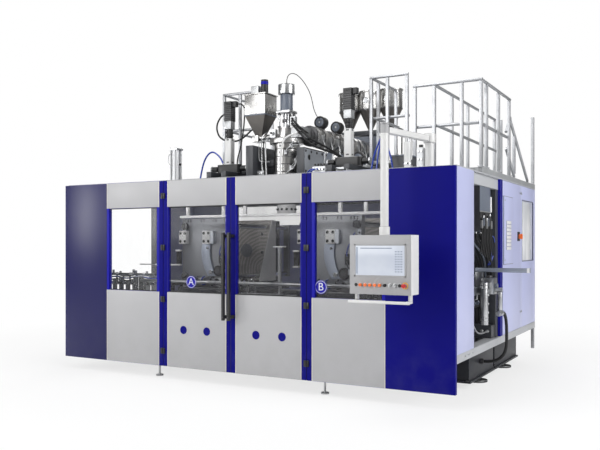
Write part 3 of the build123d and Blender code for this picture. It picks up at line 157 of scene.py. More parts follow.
class Finish:
    """One material, or the world, and its nodes."""

    def __init__(self, name, world=None):
        self.material = world or bpy.data.materials.new(name)
        self.material.use_nodes = True
        self.tree = self.material.node_tree
        self.tree.nodes.clear()
        self.output = self.tree.nodes.new("ShaderNodeOutputWorld" if world else "ShaderNodeOutputMaterial")

    def add(self, kind, settings=None, values=None, out=0):
        node = self.tree.nodes.new("ShaderNode" + kind)
        for key, value in (settings or {}).items():
            setattr(node, key, value)
        for key, value in (values or {}).items():
            if isinstance(value, Sock):
                self.tree.links.new(value.socket, node.inputs[key])
            elif isinstance(value, tuple) and node.inputs[key].type == "RGBA" and len(value) == 3:
                node.inputs[key].default_value = (*value, 1.0)
            else:
                node.inputs[key].default_value = value
        return Sock(self, node.outputs[out])

    def place(self):
        return self.add("TexCoord", out="Object")

    def stretched(self, scale):
        return self.add("Mapping", {}, {"Vector": self.place(), "Scale": scale})

    def noise(self, scale, detail=3.0, vector=None, rough=0.55):
        return self.add("TexNoise", {},
                        {"Vector": vector or self.place(), "Scale": scale, "Detail": detail,
                         "Roughness": rough}, out="Fac")

    def mix(self, factor, first, second):
        return self.add("Mix", {"data_type": "RGBA"}, {"Factor": factor, 6: first, 7: second}, out=2)

    def soft(self, value, low, high):
        return self.add("MapRange", {"interpolation_type": "SMOOTHSTEP"}, {
            "Value": value, "From Min": low, "From Max": high})

    def bump(self, height, strength, distance):
        return self.add("Bump", {}, {"Height": height, "Strength": strength, "Distance": distance},
                        out="Normal")

    def close(self, **values):
        shader = self.add("BsdfPrincipled", {},
                          {key.replace("_", " "): value for key, value in values.items()})
        self.tree.links.new(shader.socket, self.output.inputs["Surface"])
        return self.material


def scaled(colour, factor):
    return tuple(min(1.0, channel * factor) for channel in colour[:3])


def paint(name, colour, rough=0.38, coat=0.25, peel=0.06, soil=0.5, shine=0.4):
    """Sprayed paint: orange peel, slow colour drift, dust low down and faint scuffs."""
    f = Finish(name)
    drift = f.noise(1.6, 4.0)
    grain = f.noise(420.0, 2.0)
    scuff = f.soft(f.noise(9.0, 8.0, rough=0.7), 0.62, 0.78)
    height = f.add("SeparateXYZ", {}, {0: f.place()}, out="Z")
    dust = (1 - f.soft(height, 0.1, 0.8)) * f.soft(f.noise(5.0, 6.0), 0.35, 0.75) * soil
    base = f.mix(drift, scaled(colour, 0.9), scaled(colour, 1.09))
    worn = f.mix(scuff * 0.12, base, scaled(colour, 1.35))
    dusty = f.mix(dust * 0.35, worn, (0.3, 0.29, 0.27))
    return f.close(Base_Color=dusty, Roughness=rough + (drift - 0.5) * 0.1 + scuff * 0.08 + dust * 0.15,
                   Coat_Weight=coat, Coat_Roughness=0.2, Specular_IOR_Level=shine,
                   Normal=f.bump(grain + drift * 0.4, peel, 0.0006))


def steel(name, colour, rough=0.3, brush=(1.0, 1.0, 60.0), tint=0.0, metal=1.0):
    """Brushed or ground metal: fine lines along one axis, smears and slight heat tint."""
    f = Finish(name)
    lines = f.noise(26.0, 5.0, f.stretched(brush), 0.7)
    smear = f.noise(4.0, 4.0)
    base = f.mix(lines, scaled(colour, 0.8), scaled(colour, 1.15))
    smeared = f.mix(f.soft(smear, 0.5, 0.75) * 0.35, base, scaled(colour, 0.62))
    heated = f.mix(f.soft(smear, 0.58, 0.7) * tint, smeared, (0.32, 0.2, 0.1))
    return f.close(Base_Color=heated, Metallic=metal, Roughness=rough + (lines - 0.5) * 0.16 + smear * 0.1,
                   Normal=f.bump(lines, 0.12, 0.0006))


def ground_plate(name, colour):
    """Surface-ground steel plate with lines left by the wheel."""
    f = Finish(name)
    wheel = f.add("TexWave", {"wave_type": "RINGS", "rings_direction": "Y"}, {
        "Vector": f.stretched((1.0, 0.0, 1.0)), "Scale": 26.0, "Distortion": 2.5, "Detail": 3.0}, out="Fac")
    cloud = f.noise(3.0, 5.0)
    stain = f.soft(f.noise(7.0, 7.0, rough=0.7), 0.55, 0.8)
    base = f.mix(cloud, scaled(colour, 0.78), scaled(colour, 1.2))
    spotted = f.mix(stain * 0.4, base, scaled(colour, 0.5))
    return f.close(Base_Color=spotted, Metallic=0.75, Roughness=0.36 + wheel * 0.08 + stain * 0.12,
                   Normal=f.bump(wheel * 0.4 + cloud, 0.15, 0.0008))


def faced_plate(name, colour, centre):
    """Face-milled plate with wide arcs about a centre in x and z."""
    f = Finish(name)
    swept = f.add("Mapping", {}, {"Vector": f.place(), "Location": (-centre[0], 0.0, -centre[1]),
                                  "Scale": (1.0, 0.0, 1.0)})
    arcs = f.add("TexWave", {"wave_type": "RINGS", "rings_direction": "SPHERICAL"}, {
        "Vector": swept, "Scale": 7.0, "Distortion": 3.0, "Detail": 4.0, "Detail Scale": 1.4}, out="Fac")
    cloud = f.noise(3.0, 5.0)
    base = f.mix(cloud, scaled(colour, 0.6), scaled(colour, 1.15))
    swept_base = f.mix(arcs * 0.45, base, scaled(colour, 1.9))
    return f.close(Base_Color=swept_base, Metallic=0.3, Roughness=0.42 + arcs * 0.1,
                   Normal=f.bump(arcs, 0.2, 0.001))


def moulded(name, colour, rough=0.45, coat=0.0, grain_size=700.0):
    """Moulded plastic or rubber with a fine grain."""
    f = Finish(name)
    grain = f.noise(grain_size, 2.0)
    rub = f.noise(14.0, 5.0)
    base = f.mix(rub, scaled(colour, 0.8), scaled(colour, 1.25))
    return f.close(Base_Color=base, Roughness=rough + (rub - 0.5) * 0.18, Coat_Weight=coat,
                   Coat_Roughness=0.1, Normal=f.bump(grain, 0.1, 0.0004))


def tread(name, colour):
    """Tread plate: raised lozenges in two directions."""
    f = Finish(name)
    waves = []
    for turn in (0.785, -0.785):
        turned = f.add("Mapping", {}, {"Vector": f.place(), "Rotation": (0.0, 0.0, turn),
                                       "Scale": (1.0, 2.4, 0.0)})
        waves.append(f.add("TexVoronoi", {"feature": "F1"}, {
            "Vector": turned, "Scale": 16.0, "Randomness": 0.0}, out="Distance"))
    lozenge = f.soft(waves[0], 0.34, 0.22) + f.soft(waves[1], 0.34, 0.22)
    grime = f.noise(5.0, 6.0)
    base = f.mix(grime, scaled(colour, 0.7), scaled(colour, 1.1))
    return f.close(Base_Color=f.mix(lozenge * 0.3, base, scaled(colour, 1.3)), Metallic=0.4,
                   Roughness=0.45 + grime * 0.15, Normal=f.bump(lozenge, 0.5, 0.002))


def pane(name, tint, cover, soiled=0.12):
    """Clear safety sheet: a thin tint, a gloss film and faint wipe marks."""
    f = Finish(name)
    wipe = f.soft(f.noise(2.2, 5.0, f.stretched((1.0, 1.0, 0.35))), 0.45, 0.8)
    edge = f.noise(30.0, 3.0)
    return f.close(Base_Color=f.mix(wipe, tint, scaled(tint, 1.5)),
                   Roughness=0.04 + wipe * 0.05 + edge * 0.02, Alpha=cover + wipe * soiled,
                   Specular_IOR_Level=0.35)


def lit(name, low, high, glow):
    """Backlit sheet of the display."""
    f = Finish(name)
    haze = f.noise(6.0, 2.0)
    colour = f.mix(haze, low, high)
    return f.close(Base_Color=(0.02, 0.02, 0.02), Roughness=0.12 + haze * 0.04, Emission_Color=colour,
                   Emission_Strength=glow)


def recipe_book():
    hue = bpy.context.scene.machine_colours
    return {
        "blue": lambda n: paint(n, hue.corner_blue, rough=0.5, coat=0.0, soil=0.15, shine=0.1),
        # Left corner panel: the corner blue darkened to 0.4 as painted shade, with more gloss so the left
        # lamp adds a real sheen
        "sheen_blue": lambda n: paint(n, scaled(hue.corner_blue, 0.4), rough=0.33, coat=0.0, peel=0.2,
                                      soil=0.1, shine=0.5),
        "jamb": lambda n: paint(n, hue.jamb_blue, rough=0.45, coat=0.0, soil=0.1, shine=0.2),
        "grey": lambda n: paint(n, hue.front_grey, rough=0.45, coat=0.15),
        "lavender": lambda n: paint(n, hue.side_lavender, rough=0.4, coat=0.2, soil=0.3),
        "frame": lambda n: paint(n, hue.frame_grey, rough=0.45, coat=0.1),
        "white": lambda n: paint(n, hue.panel_white, rough=0.35, coat=0.3, soil=0.0),
        "rail": lambda n: steel(n, (0.5, 0.51, 0.53), rough=0.34, brush=EVEN, metal=0.85),
        "cream": lambda n: paint(n, (0.72, 0.7, 0.6), rough=0.45, coat=0.0),
        "dark": lambda n: paint(n, (0.045, 0.048, 0.055), rough=0.4, coat=0.2),
        "pedestal": lambda n: paint(n, (0.017, 0.019, 0.025), rough=0.45, coat=0.1, soil=0.2, shine=0.3),
        "slate": lambda n: paint(n, (0.13, 0.15, 0.19), rough=0.35, coat=0.3),
        "bezel": lambda n: paint(n, (0.4, 0.4, 0.41), rough=0.4, coat=0.1, soil=0.0),
        "yellow": lambda n: moulded(n, (0.75, 0.42, 0.06), rough=0.35, coat=0.2),
        "red": lambda n: moulded(n, (0.5, 0.018, 0.02), rough=0.28, coat=0.4),
        "orange": lambda n: moulded(n, (0.85, 0.17, 0.03), rough=0.3, coat=0.4),
        "black": lambda n: moulded(n, (0.014, 0.014, 0.015), rough=0.42, coat=0.1),
        "rubber": lambda n: moulded(n, (0.012, 0.012, 0.013), rough=0.6),
        "silver": lambda n: steel(n, (0.55, 0.56, 0.57), rough=0.26, brush=(1.0, 1.0, 0.05)),
        "chrome": lambda n: steel(n, (0.7, 0.71, 0.72), rough=0.12, brush=EVEN),
        "stainless": lambda n: steel(n, (0.56, 0.555, 0.545), rough=0.22, brush=(1.0, 1.0, 0.04)),
        "heated": lambda n: steel(n, (0.54, 0.53, 0.52), rough=0.25, brush=(0.05, 0.05, 1.0), tint=0.2),
        "alloy": lambda n: steel(n, (0.52, 0.53, 0.54), rough=0.38, brush=EVEN, metal=0.85),
        "gunmetal": lambda n: steel(n, (0.12, 0.12, 0.125), rough=0.4, brush=EVEN, metal=0.8),
        "funnel": lambda n: steel(n, (0.17, 0.16, 0.15), rough=0.34, brush=(1.0, 1.0, 0.1), metal=0.9),
        "ground": lambda n: ground_plate(n, (0.6, 0.63, 0.68)),
        "platen": lambda n: ground_plate(n, hue.platen_grey),
        "left_face": lambda n: faced_plate(n, (0.46, 0.435, 0.41), centre=(-0.77, 1.2)),
        "right_face": lambda n: faced_plate(n, (0.46, 0.435, 0.41), centre=(0.91, 1.2)),
        # Near-white paint: the own colour of some pale parts, and a painted highlight on steel rings, rails
        # and blocks lying in shade
        "bright": lambda n: paint(n, (0.92, 0.92, 0.92), rough=0.3, coat=0.4, soil=0.0),
        "arm": lambda n: ground_plate(n, (0.42, 0.46, 0.54)),
        "tread": lambda n: tread(n, (0.36, 0.37, 0.38)),
        "clear_pane": lambda n: pane(n, (0.7, 0.72, 0.74), cover=0.03, soiled=0.05),
        "smoke_pane": lambda n: pane(n, (0.07, 0.07, 0.075), cover=0.2, soiled=0.1),
        "cabinet_pane": lambda n: pane(n, (0.75, 0.77, 0.8), cover=0.72, soiled=0.2),
        "screen": lambda n: lit(n, (0.6, 0.65, 0.78), high=(0.8, 0.85, 0.92), glow=0.85),
        "screen_line": lambda n: lit(n, (0.3, 0.36, 0.5), high=(0.36, 0.43, 0.56), glow=0.7),
        "air_blue": lambda n: moulded(n, (0.012, 0.045, 0.36), rough=0.3, coat=0.3),
    }


MADE = {}


def finish_of(key):
    if key not in MADE:
        MADE[key] = recipe_book()[key]("machine_" + key)
    return MADE[key]


class Shape:
    """Gathers solids, each with its finish, into one mesh."""

    def __init__(self, x=0):
        self.x = x
        self.bm = bmesh.new()
        self.keys = []

    def place(self, x, y, z):
        return at(x + self.x, y, z)

    def index(self, key):
        if key not in self.keys:
            self.keys.append(key)
        return self.keys.index(key)

    def paint(self, faces, key):
        number = self.index(key)
        for face in faces:
            face.material_index = number

    def box(self, x, y, z, key, edge=1.5):
        self.hull([(a, b, c) for a in x for b in y for c in z], key, edge)

    def fin(self, centre, angle, inner, outer, thick, y, key):
        """A radial fin about a line along Y."""
        out = Vector((math.cos(angle), 0, math.sin(angle)))
        wide = Vector((-math.sin(angle), 0, math.cos(angle))) * thick / 2
        foot = Vector((centre[0], 0, centre[1]))
        self.hull([foot + out * r + wide * s + Vector((0, b, 0)) for r in (inner, outer) for s in SIDES
                   for b in y], key)

    def band(self, centre, radius, low, high, key):
        """A clamped band about an upright line, with its lug and screw at the front."""
        x, y = centre
        cut = 2 / (high - low)
        self.turned((x, y, low), (x, y, high),
                    [(0, radius - 2), (cut, radius), (1 - cut, radius), (1, radius - 2)], key, 48)
        front, mid = y - radius, (low + high) / 2
        for side in SIDES:
            self.box(sorted((x + side * 5, x + side * 9)), (front - 16, front + 2), (mid - 14, mid + 14),
                     "silver", 1)
        self.rod((x - 15, x + 15), front - 9, mid, 4, "gunmetal", 12, 0.6)

    def badge(self, letter, place, radius):
        """A round station badge with its letter, facing the front."""
        x, y, z = place
        for share, deep, key in ((1, 1.6, "jamb"), (0.92, 2.0, "white"), (0.85, 2.4, "jamb")):
            wide = radius * share
            self.turned((x, y, z), (x, y - deep, z), [(0, wide), (0.7, wide), (1, wide - 0.6)], key, 44)
        mesh = self.letter(letter, radius)
        mesh.transform(Matrix.Translation(at(x, y - 2.6, z)) @ Matrix.Rotation(math.radians(90), 4, "X"))
        self.join(mesh, "white")

    def letter(self, letter, radius):
        """The flat letter of a badge, upright at the origin."""
        curve = bpy.data.curves.new("station_letter", "FONT")
        curve.body = letter
        curve.align_x = curve.align_y = "CENTER"
        curve.size = radius * 0.0016
        curve.extrude = 0.0004
        sign = bpy.data.objects.new("station_letter", curve)
        bpy.context.scene.collection.objects.link(sign)
        return curve_mesh(sign)

    def join(self, mesh, key):
        """Takes a loose mesh into the shape."""
        before = set(self.bm.faces)
        self.bm.from_mesh(mesh)
        bpy.data.meshes.remove(mesh)
        self.paint([face for face in self.bm.faces if face not in before], key)

    def hull(self, corners, key, edge=1.5):
        """The convex solid on the given corners, its edges rounded by so many millimetres."""
        verts = [self.bm.verts.new(self.place(*corner)) for corner in corners]
        hull = bmesh.ops.convex_hull(self.bm, input=verts)
        faces = [item for item in hull["geom"] if isinstance(item, bmesh.types.BMFace)]
        edges = list({e for face in faces for e in face.edges})
        flat = bmesh.ops.dissolve_limit(self.bm, angle_limit=0.02, verts=verts, edges=edges)
        faces = flat["region"] or faces
        self.paint([face for face in faces if face.is_valid], key)
        if edge:
            edges = list({e for v in verts if v.is_valid for e in v.link_edges})
            made = bmesh.ops.bevel(self.bm, geom=edges, offset=edge / 1000, segments=2, affect="EDGES",
                                   clamp_overlap=True)
            self.paint(made["faces"], key)

    def turned(self, start, end, profile, key, sides=28, hollow=False):
        """A body turned about the line from start to end; profile pairs are (share along, radius in mm)."""
        foot, head = self.place(*start), self.place(*end)
        run = head - foot
        turn = run.to_track_quat("Z", "Y").to_matrix()
        rings = []
        for share, radius in profile:
            ring = []
            for k in range(sides):
                angle = 2 * math.pi * k / sides
                spoke = Vector((math.cos(angle), math.sin(angle), 0)) * radius / 1000
                ring.append(self.bm.verts.new(foot + run * share + turn @ spoke))
            rings.append(ring)
        faces = []
        if hollow:
            rings.append(rings[0])
        else:
            faces = [self.bm.faces.new(list(reversed(rings[0]))), self.bm.faces.new(rings[-1])]
        for low, high in zip(rings, rings[1:]):
            for k in range(sides):
                following = (k + 1) % sides
                faces.append(self.bm.faces.new((low[k], low[following], high[following], high[k])))
        self.paint(faces, key)

    def rod(self, x, y, z, radius, key, sides=24, chamfer=1.0):
        """A chamfered round bar; the one value that is a pair gives its axis and its ends."""
        ends = [[value[k] if isinstance(value, tuple) else value for value in (x, y, z)] for k in (0, 1)]
        start, end = ends
        long = (Vector(end) - Vector(start)).length
        cut = min(chamfer, long / 3, radius / 3)
        self.turned(start, end, [(0, radius - cut), (cut / long, radius), (1 - cut / long, radius),
                                 (1, radius - cut)], key, sides)

    def pipe(self, places, radius, key, sides=3):
        """A bent pipe through control points."""
        self.join(bent_line([self.place(*place) for place in places], radius / 1000, sides), key)

    def done(self, name, body, slot):
        bmesh.ops.recalc_face_normals(self.bm, faces=self.bm.faces)
        mesh = bpy.data.meshes.new(name)
        self.bm.to_mesh(mesh)
        self.bm.free()
        return settle(mesh, name, body, self.keys)


def settle(mesh, name, body, keys):
    """Puts a finished mesh into the scene on its body."""
    for key in keys:
        mesh.materials.append(finish_of(key))
    mesh.polygons.foreach_set("use_smooth", [True] * len(mesh.polygons))
    mesh.set_sharp_from_angle(angle=SHARP_ANGLE)
    piece = bpy.data.objects.new(name, mesh)
    bpy.context.scene.collection.objects.link(piece)
    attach(piece, body)
    return piece


def evaluated_mesh(piece):
    bpy.context.view_layer.update()
    return bpy.data.meshes.new_from_object(piece.evaluated_get(bpy.context.evaluated_depsgraph_get()))


def curve_mesh(piece):
    """A curve or letter made a plain mesh; the curve itself is removed."""
    mesh = evaluated_mesh(piece)
    curve = piece.data
    bpy.data.objects.remove(piece)
    bpy.data.curves.remove(curve)
    return mesh


def spline_object(name, points, radius, resolution):
    curve = bpy.data.curves.new(name, "CURVE")
    curve.dimensions = "3D"
    curve.bevel_depth = radius
    curve.bevel_resolution = resolution
    curve.use_fill_caps = True
    curve.resolution_u = 10
    spline = curve.splines.new("NURBS")
    spline.points.add(len(points) - 1)
    for point, place in zip(spline.points, points):
        point.co = (*place, 1.0)
    spline.order_u = 3
    spline.use_endpoint_u = True
    piece = bpy.data.objects.new(name, curve)
    bpy.context.scene.collection.objects.link(piece)
    return piece


def bent_line(points, radius, resolution):
    return curve_mesh(spline_object("bent_pipe", points, radius, resolution))


def dress(node, rule, edge=None, shift=None):
    """A copy of a CAD node with rounded edges, each of its solids in its own finish."""
    bm = bmesh.new()
    bm.from_mesh(frame["nodes"][node].data)
    bmesh.ops.remove_doubles(bm, verts=bm.verts, dist=2e-5)
    for v in bm.verts if shift else ():
        v.co += (shift(v.co * 1000 + DATUM) or Vector()) / 1000
    keys = []
    done = set()
    for first in bm.faces:
        if first in done:
            continue
        island, front = {first}, [first]
        while front:
            for e in front.pop().edges:
                for face in e.link_faces:
                    if face not in island:
                        island.add(face)
                        front.append(face)
        done |= island
        places = [v.co * 1000 + DATUM for face in island for v in face.verts]
        low = Vector(min(p[k] for p in places) for k in range(3))
        high = Vector(max(p[k] for p in places) for k in range(3))
        key = rule((low + high) / 2, high - low) if callable(rule) else rule
        if key not in keys:
            keys.append(key)
        for face in island:
            face.material_index = keys.index(key)
    bmesh.ops.dissolve_limit(bm, angle_limit=0.01, verts=bm.verts, edges=bm.edges, delimit={"MATERIAL"})
    width = bpy.context.scene.machine_sizes.edge if edge is None else edge / 1000
    sharp = [e for e in bm.edges if len(e.link_faces) == 2 and e.calc_face_angle(0) > 0.6]
    if width:
        bmesh.ops.bevel(bm, geom=sharp, offset=width, segments=2, profile=0.6, affect="EDGES",
                        clamp_overlap=True)
    mesh = bpy.data.meshes.new(node + "_dressed")
    bm.to_mesh(mesh)
    bm.free()
    piece = settle(mesh, node + "_dressed", BODY_OF[node], keys)
    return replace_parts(piece, node)


def field_tree(name, kind):
    """Geometry Nodes: a small solid on every point, turned to the point's facing."""
    tree = bpy.data.node_groups.new(name, "GeometryNodeTree")
    face = tree.interface
    face.new_socket("Geometry", in_out="INPUT", socket_type="NodeSocketGeometry")
    for label in ("Radius", "Height"):
        face.new_socket(label, in_out="INPUT", socket_type="NodeSocketFloat")
    face.new_socket("Finish", in_out="INPUT", socket_type="NodeSocketMaterial")
    face.new_socket("Geometry", in_out="OUTPUT", socket_type="NodeSocketGeometry")
    nodes, links = tree.nodes, tree.links

    def node(kind, **settings):
        made = nodes.new(kind)
        for key, value in settings.items():
            setattr(made, key, value)
        return made

    given = node("NodeGroupInput")
    result = node("NodeGroupOutput")
    joined = node("GeometryNodeJoinGeometry")
    if kind == "bolt":
        for sides, wide, high in ((16, 1.5, 0.3), (6, 1.0, 1.0)):
            disc = node("GeometryNodeMeshCylinder")
            disc.inputs["Vertices"].default_value = sides
            for label, factor, source in (("Radius", wide, "Radius"), ("Depth", 2 * high, "Height")):
                times = node("ShaderNodeMath", operation="MULTIPLY")
                links.new(given.outputs[source], times.inputs[0])
                times.inputs[1].default_value = factor
                links.new(times.outputs[0], disc.inputs[label])
            links.new(disc.outputs["Mesh"], joined.inputs["Geometry"])
    else:
        slat = node("GeometryNodeMeshCube")
        size = node("ShaderNodeCombineXYZ")
        links.new(given.outputs["Radius"], size.inputs["X"])
        links.new(given.outputs["Height"], size.inputs["Y"])
        links.new(given.outputs["Height"], size.inputs["Z"])
        links.new(size.outputs[0], slat.inputs["Size"])
        links.new(slat.outputs["Mesh"], joined.inputs["Geometry"])
    facing = node("GeometryNodeInputNamedAttribute", data_type="FLOAT_VECTOR")
    facing.inputs["Name"].default_value = "facing"
    turn = node("FunctionNodeAlignRotationToVector", axis="Z")
    links.new(facing.outputs["Attribute"], turn.inputs["Vector"])
    copies = node("GeometryNodeInstanceOnPoints")
    links.new(given.outputs["Geometry"], copies.inputs["Points"])
    links.new(joined.outputs["Geometry"], copies.inputs["Instance"])
    links.new(turn.outputs["Rotation"], copies.inputs["Rotation"])
    real = node("GeometryNodeRealizeInstances")
    coat = node("GeometryNodeSetMaterial")
    links.new(copies.outputs["Instances"], real.inputs["Geometry"])
    links.new(real.outputs["Geometry"], coat.inputs["Geometry"])
    links.new(given.outputs["Finish"], coat.inputs["Material"])
    links.new(coat.outputs["Geometry"], result.inputs["Geometry"])
    return tree


FIELDS = {}


def scatter(name, body, kind, places, radius, height, key):
    """Bolts or slats at the given (point, facing) pairs, as one plain mesh on one body."""
    if kind not in FIELDS:
        FIELDS[kind] = field_tree("machine_" + kind + "_field", kind)
    mesh = bpy.data.meshes.new(name + "_points")
    mesh.from_pydata([at(*point) for point, _ in places], [], [])
    facing = mesh.attributes.new("facing", "FLOAT_VECTOR", "POINT")
    facing.data.foreach_set("vector", [n for _, normal in places for n in normal])
    seed = bpy.data.objects.new(name + "_points", mesh)
    bpy.context.scene.collection.objects.link(seed)
    field = seed.modifiers.new("field", "NODES")
    field.node_group = FIELDS[kind]
    sockets = {item.name: item.identifier for item in FIELDS[kind].interface.items_tree
               if item.in_out == "INPUT"}
    field[sockets["Radius"]] = radius
    field[sockets["Height"]] = height
    field[sockets["Finish"]] = finish_of(key)
    made = evaluated_mesh(seed)
    seed.modifiers.remove(field)
    bpy.data.objects.remove(seed)
    bpy.data.meshes.remove(mesh)
    made.materials.clear()
    return settle(made, name, body, [key])


class StructureDresser(bpy.types.Operator):
    """Base, feet, frame, rails and deck"""
    bl_idname = "machine.dress_structure"
    bl_label = "Structure"

    def execute(self, context):
        dress("base_frame", lambda c, s: "frame" if c.z > 400 else "gunmetal" if s.x < 60 else "pedestal")
        dress("levelling_feet", lambda c, s: "gunmetal" if c.y > 500 else "silver")
        dress("machine_frame", lambda c, s: "frame" if c.z > 2000 else "dark")
        # The hung rail under the roof takes the near-white paint as a painted highlight, lifting it out of
        # the roof's shade
        dress("shift_rails", lambda c, s: "bright" if c.z > 1800 else "silver" if s.x > 1000 else "dark")
        dress("top_deck", lambda c, s: "tread" if 35 < s.z < 90 and s.x > 300 else "frame")
        dress("guard_rails", "rail", 1.5)
        dress("access_ladder", "rail", 1.5)
        feet = []
        for side in SIDES:
            for y0, y1 in ((1060, 2040), (2110, 3210)):
                for x in (2060, 2280):
                    feet += [((side * x, y, 82), UP) for y in (y0 - 8, y1 + 8)]
        scatter("pedestal_bolts", "machine", "bolt", feet, 0.011, 0.008, "gunmetal")
        deck = []
        for x, y in ((1945, 3490), (1945, 2859), (1945, 2228), (1945, 1596), (2454, 2166), (2454, 1668),
                     (2454, 1164), (2250, 965), (1951, 965), (2454, 965), (1735, 965)):
            deck += [((x + dx, y + dy, 2333), UP) for dx in (-25, 25) for dy in (-25, 25)]
        scatter("rail_foot_bolts", "machine", "bolt", deck, 0.005, 0.005, "silver")
        seams = []
        for x in (-2380, -1740, -1140, 1140, 1740, 2380):
            seams += [((x, y, ROOF), UP) for y in range(150, 3500, 300) if not (x > 1600 and y > 900)]
        scatter("roof_screws", "machine", "bolt", seams, context.scene.machine_sizes.screw,
                0.004, "silver")
        self.roof()
        return {"FINISHED"}

    def roof(self):
        """Boxes, filter, eye bolts, trays, cylinder and air lines on the roof."""
        roof = Shape()
        roof.box((1600, 1800), (600, 880), (2262, 2440), "dark", 4)
        roof.box((1590, 1810), (590, 890), (2440, 2455), "slate", 3)
        for y in (650, 740, 830):
            roof.rod((1800, 1822), y, 2330, 15, "alloy")
        roof.rod(1838, 470, (2262, 2560), 36, "white", 28, 4)
        roof.rod(1838, 470, (2560, 2600), 24, "alloy", 24, 3)
        roof.rod(1838, 470, (2330, 2350), 44, "chrome", 28, 3)
        roof.pipe(((1838, 470, 2590), (1838, 470, 2640), (1838, 560, 2650), (1830, 640, 2560),
                   (1812, 640, 2400)), 11, "white")
        roof.box((1930, 2000), (480, 560), (2262, 2500), "alloy", 6)
        roof.rod(1965, 520, (2500, 2530), 22, "black", 24, 3)
        for z in (2300, 2380, 2460):
            roof.rod(1950, (480, 470), z, 12, "silver")
            roof.rod(1982, (480, 470), z, 12, "silver")
        for y in (1750, 3300):
            roof.rod(-2250, y, (ROOF, 2272), 44, "gunmetal", 32, 3)
            roof.rod(-2250, y, (2272, 2300), 16, "gunmetal", 24, 2)
            roof.pipe([(-2250 + 34 * math.cos(t / 6 * math.pi), y, 2326 + 34 * math.sin(t / 6 * math.pi))
                       for t in range(-3, 10)], 8, "gunmetal")
        for y in (1000, 2000, 2950):
            roof.box((-2470, -1110), (y - 20, y + 20), (ROOF, 2264), "frame", 1)
        roof.box((-2300, -1260), (2300, 2380), (2264, 2330), "alloy", 4)
        roof.box((-2310, -1250), (2294, 2386), (2330, 2336), "frame", 2)
        for x in range(-2250, -1270, 160):
            roof.box((x, x + 60), (2298, 2302), (2276, 2316), "gunmetal", 1)
        tray = (1060, 1180)
        roof.box(tray, (420, 1340), (2262, 2268), "alloy", 1)
        for x in (tray[0], tray[1] - 4):
            roof.box((x, x + 4), (420, 1340), (2268, 2320), "alloy", 1)
        for k, key in enumerate(("rubber", "rubber", "air_blue", "rubber", "slate")):
            x = tray[0] + 18 + 20 * k
            roof.pipe(((x, 430, 2279), (x + 6, 700, 2281), (x - 5, 1000, 2278), (x, 1330, 2280)), 8, key)
        roof.box((-1537, -1397), (830, 970), (ROOF, 2290), "alloy", 4)
        roof.rod(-1467, 900, (2290, 2728), 60, "alloy", 40, 3)
        roof.box((-1533, -1401), (834, 966), (2728, 2750), "silver", 4)
        for x in (-1515, -1419):
            for y in (852, 948):
                roof.rod(x, y, (2290, 2764), 7, "silver", 16, 2)
        for side in SIDES:
            roof.rod((-1467 + side * 56, -1467 + side * 84), 900, 2546, 14, "black", 20, 2)
        roof.pipe(((-1551, 900, 2546), (-1590, 900, 2560), (-1592, 900, 2640), (-1572, 900, 2690),
                   (-1530, 900, 2700)), 5, "silver")
        roof.rod(1552, 500, (ROOF, 2640), 14, "alloy", 24, 2)
        roof.box((1526, 1578), (478, 522), (2640, 2680), "alloy", 4)
        for x, lean in ((1424, 16), (1484, 10), (1672, -18)):
            roof.pipe(((x, 500, 2262), (x + lean, 500, 2400), (1552 + (x - 1552) * 0.4, 500, 2560),
                       (1552, 500, 2660)), 9, "air_blue")
            roof.rod(x, 500, (ROOF, 2286), 15, "chrome", 6, 2)
        roof.done("roof_fittings", "machine", "frame_grey")


